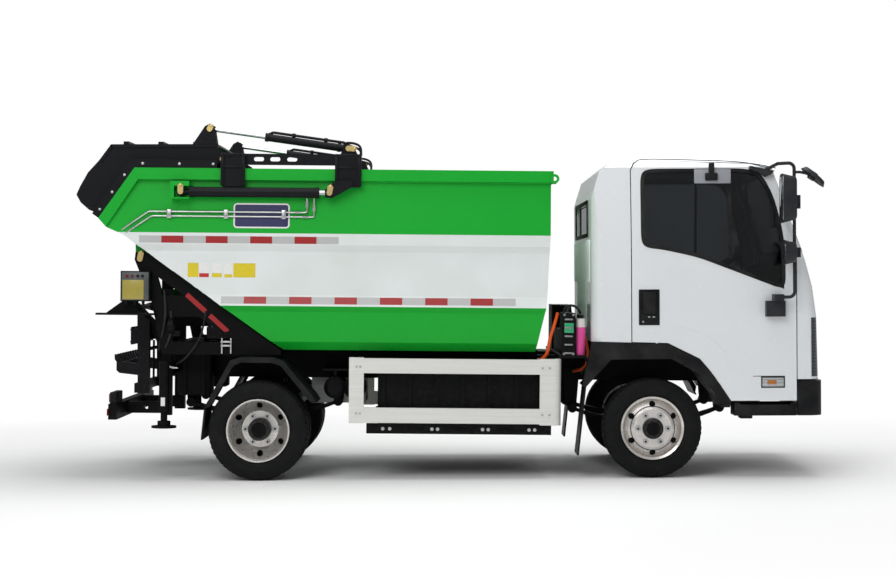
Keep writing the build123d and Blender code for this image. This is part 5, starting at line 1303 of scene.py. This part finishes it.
class TRUCK_OT_stage(bpy.types.Operator):
    """Set the pale floor, the soft lamps and the camera of a side view"""
    bl_idname = "truck.stage"
    bl_label = "Stage"

    # name, place, aim, size and power: one high at the camera's side, one over the roof, one behind
    LAMPS = (("key", (-3.0, -8.0, 6.5), (0, -0.9, 1.2), 6.0, 330.0),
             ("top", (0.5, 0.0, 8.0), (0, 0, 1.0), 7.0, 400.0),
             ("back", (3.0, 8.0, 5.5), (0, 0.9, 1.2), 6.0, 200.0))

    def execute(self, context):
        self.floor(context)
        self.world(context)
        for name, place, aim, size, power in self.LAMPS:
            data = bpy.data.lights.new(name, "AREA")
            data.shape, data.size, data.energy = "DISK", size, power
            lamp = bpy.data.objects.new(name, data)
            lamp.location = place
            lamp.rotation_euler = (Vector(aim) - Vector(place)).to_track_quat("-Z", "Y").to_euler()
            context.scene.collection.objects.link(lamp)

        # a long lens 13.4 m away, level with the truck's middle and turned by a hair about its axis
        data = bpy.data.cameras.new("side_view")
        data.lens, data.sensor_width, data.shift_y = 71.04, 36.0, -14 / 896
        camera = bpy.data.objects.new("side_view", data)
        camera.location = (-0.018, -13.43, 1.436)
        camera.rotation_euler = (pi / 2, radians(0.29), 0)
        context.scene.collection.objects.link(camera)
        context.scene.camera = camera
        context.scene.view_settings.view_transform = "Standard"
        return {"FINISHED"}

    def floor(self, context):
        """A pale floor that turns into a plain white sheet beyond the truck's shadow."""
        bm = bmesh.new()
        bmesh.ops.create_grid(bm, x_segments=1, y_segments=1, size=40.0)
        mesh = bpy.data.meshes.new("floor")
        bm.to_mesh(mesh)
        bm.free()
        floor = bpy.data.objects.new("floor", mesh)
        context.scene.collection.objects.link(floor)
        material, tree, shader, place = new_finish("studio_floor", Roughness=0.9, Specular_IOR_Level=0.1)
        shader.inputs["Base Color"].default_value = linear("#F6F6F6")
        reach = length_of(tree, spread(tree, place, Scale=(0.75, 1.0, 1.0)))
        seen = add_node(tree, "ShaderNodeLightPath").outputs["Is Camera Ray"]
        share = worked(tree, "MULTIPLY", ranged(tree, reach, 2.6, 5.5, 0.0, 1.0), seen)
        sheet = add_node(tree, "ShaderNodeEmission", None, {"Color": (1.0, 1.0, 1.0, 1.0), "Strength": 1.0})
        both = add_node(tree, "ShaderNodeMixShader", {0: share, 1: shader.outputs[0], 2: sheet.outputs[0]})
        tree.links.new(both.outputs[0], tree.nodes["Material Output"].inputs["Surface"])
        mesh.materials.append(material)

    def world(self, context):
        """A dim sky that is plain white where the camera sees it, straight or through glass."""
        world = bpy.data.worlds.new("studio_light")
        context.scene.world = world
        world.use_nodes = True
        tree = world.node_tree
        background = tree.nodes["Background"]
        height = axis_of(tree, add_node(tree, "ShaderNodeTexCoord").outputs["Generated"], "Z")
        sky = mixed(tree, ranged(tree, height, -0.1, 0.9, 0.0, 1.0), linear("#D5D7DA"), linear("#FFFFFF"))
        path = add_node(tree, "ShaderNodeLightPath").outputs
        seen = worked(tree, "MAXIMUM", path["Is Camera Ray"], path["Is Transmission Ray"])
        tree.links.new(mixed(tree, seen, sky, (1.0, 1.0, 1.0, 1.0)), background.inputs["Color"])
        tree.links.new(ranged(tree, seen, 0.0, 1.0, 0.45, 1.0), background.inputs["Strength"])


PIECE_OPERATORS = (
    TRUCK_OT_stage,
    TRUCK_OT_cad_finishes,
    TRUCK_OT_tyres,
    TRUCK_OT_wheel_fittings,
    TRUCK_OT_tapes,
    TRUCK_OT_pin_heads,
    TRUCK_OT_pipes,
    TRUCK_OT_tub_fittings,
    TRUCK_OT_carriage_fittings,
    TRUCK_OT_blade_fittings,
    TRUCK_OT_doors,
    TRUCK_OT_cab_outside,
    TRUCK_OT_cab_inside,
    TRUCK_OT_power_unit,
    TRUCK_OT_chassis_fittings,
    TRUCK_OT_control_panel,
    TRUCK_OT_lifter_fittings,
)


class TRUCK_PT_pieces(bpy.types.Panel):
    """Sidebar panel with the truck's colours, sizes and pieces"""
    bl_idname = "TRUCK_PT_pieces"
    bl_label = "Garbage truck"
    bl_space_type = "VIEW_3D"
    bl_region_type = "UI"
    bl_category = "Truck"

    def draw(self, context):
        for group in (context.scene.truck_colours, context.scene.truck_sizes):
            box = self.layout.box()
            for name in group.__annotations__:
                box.prop(group, name)
        for operator in PIECE_OPERATORS:
            self.layout.operator(operator.bl_idname)


CLASSES = (TruckColours, TruckSizes, *PIECE_OPERATORS, TRUCK_PT_pieces)


def register():
    for cls in CLASSES:
        bpy.utils.register_class(cls)
    bpy.types.Scene.truck_colours = PointerProperty(type=TruckColours)
    bpy.types.Scene.truck_sizes = PointerProperty(type=TruckSizes)


def unregister():
    del bpy.types.Scene.truck_sizes
    del bpy.types.Scene.truck_colours
    for cls in reversed(CLASSES):
        bpy.utils.unregister_class(cls)


def main():
    """Register, and build every piece in order."""
    register()
    for operator in PIECE_OPERATORS:
        group, name = operator.bl_idname.split(".")
        getattr(getattr(bpy.ops, group), name)()


if __name__ == "__main__":
    main()
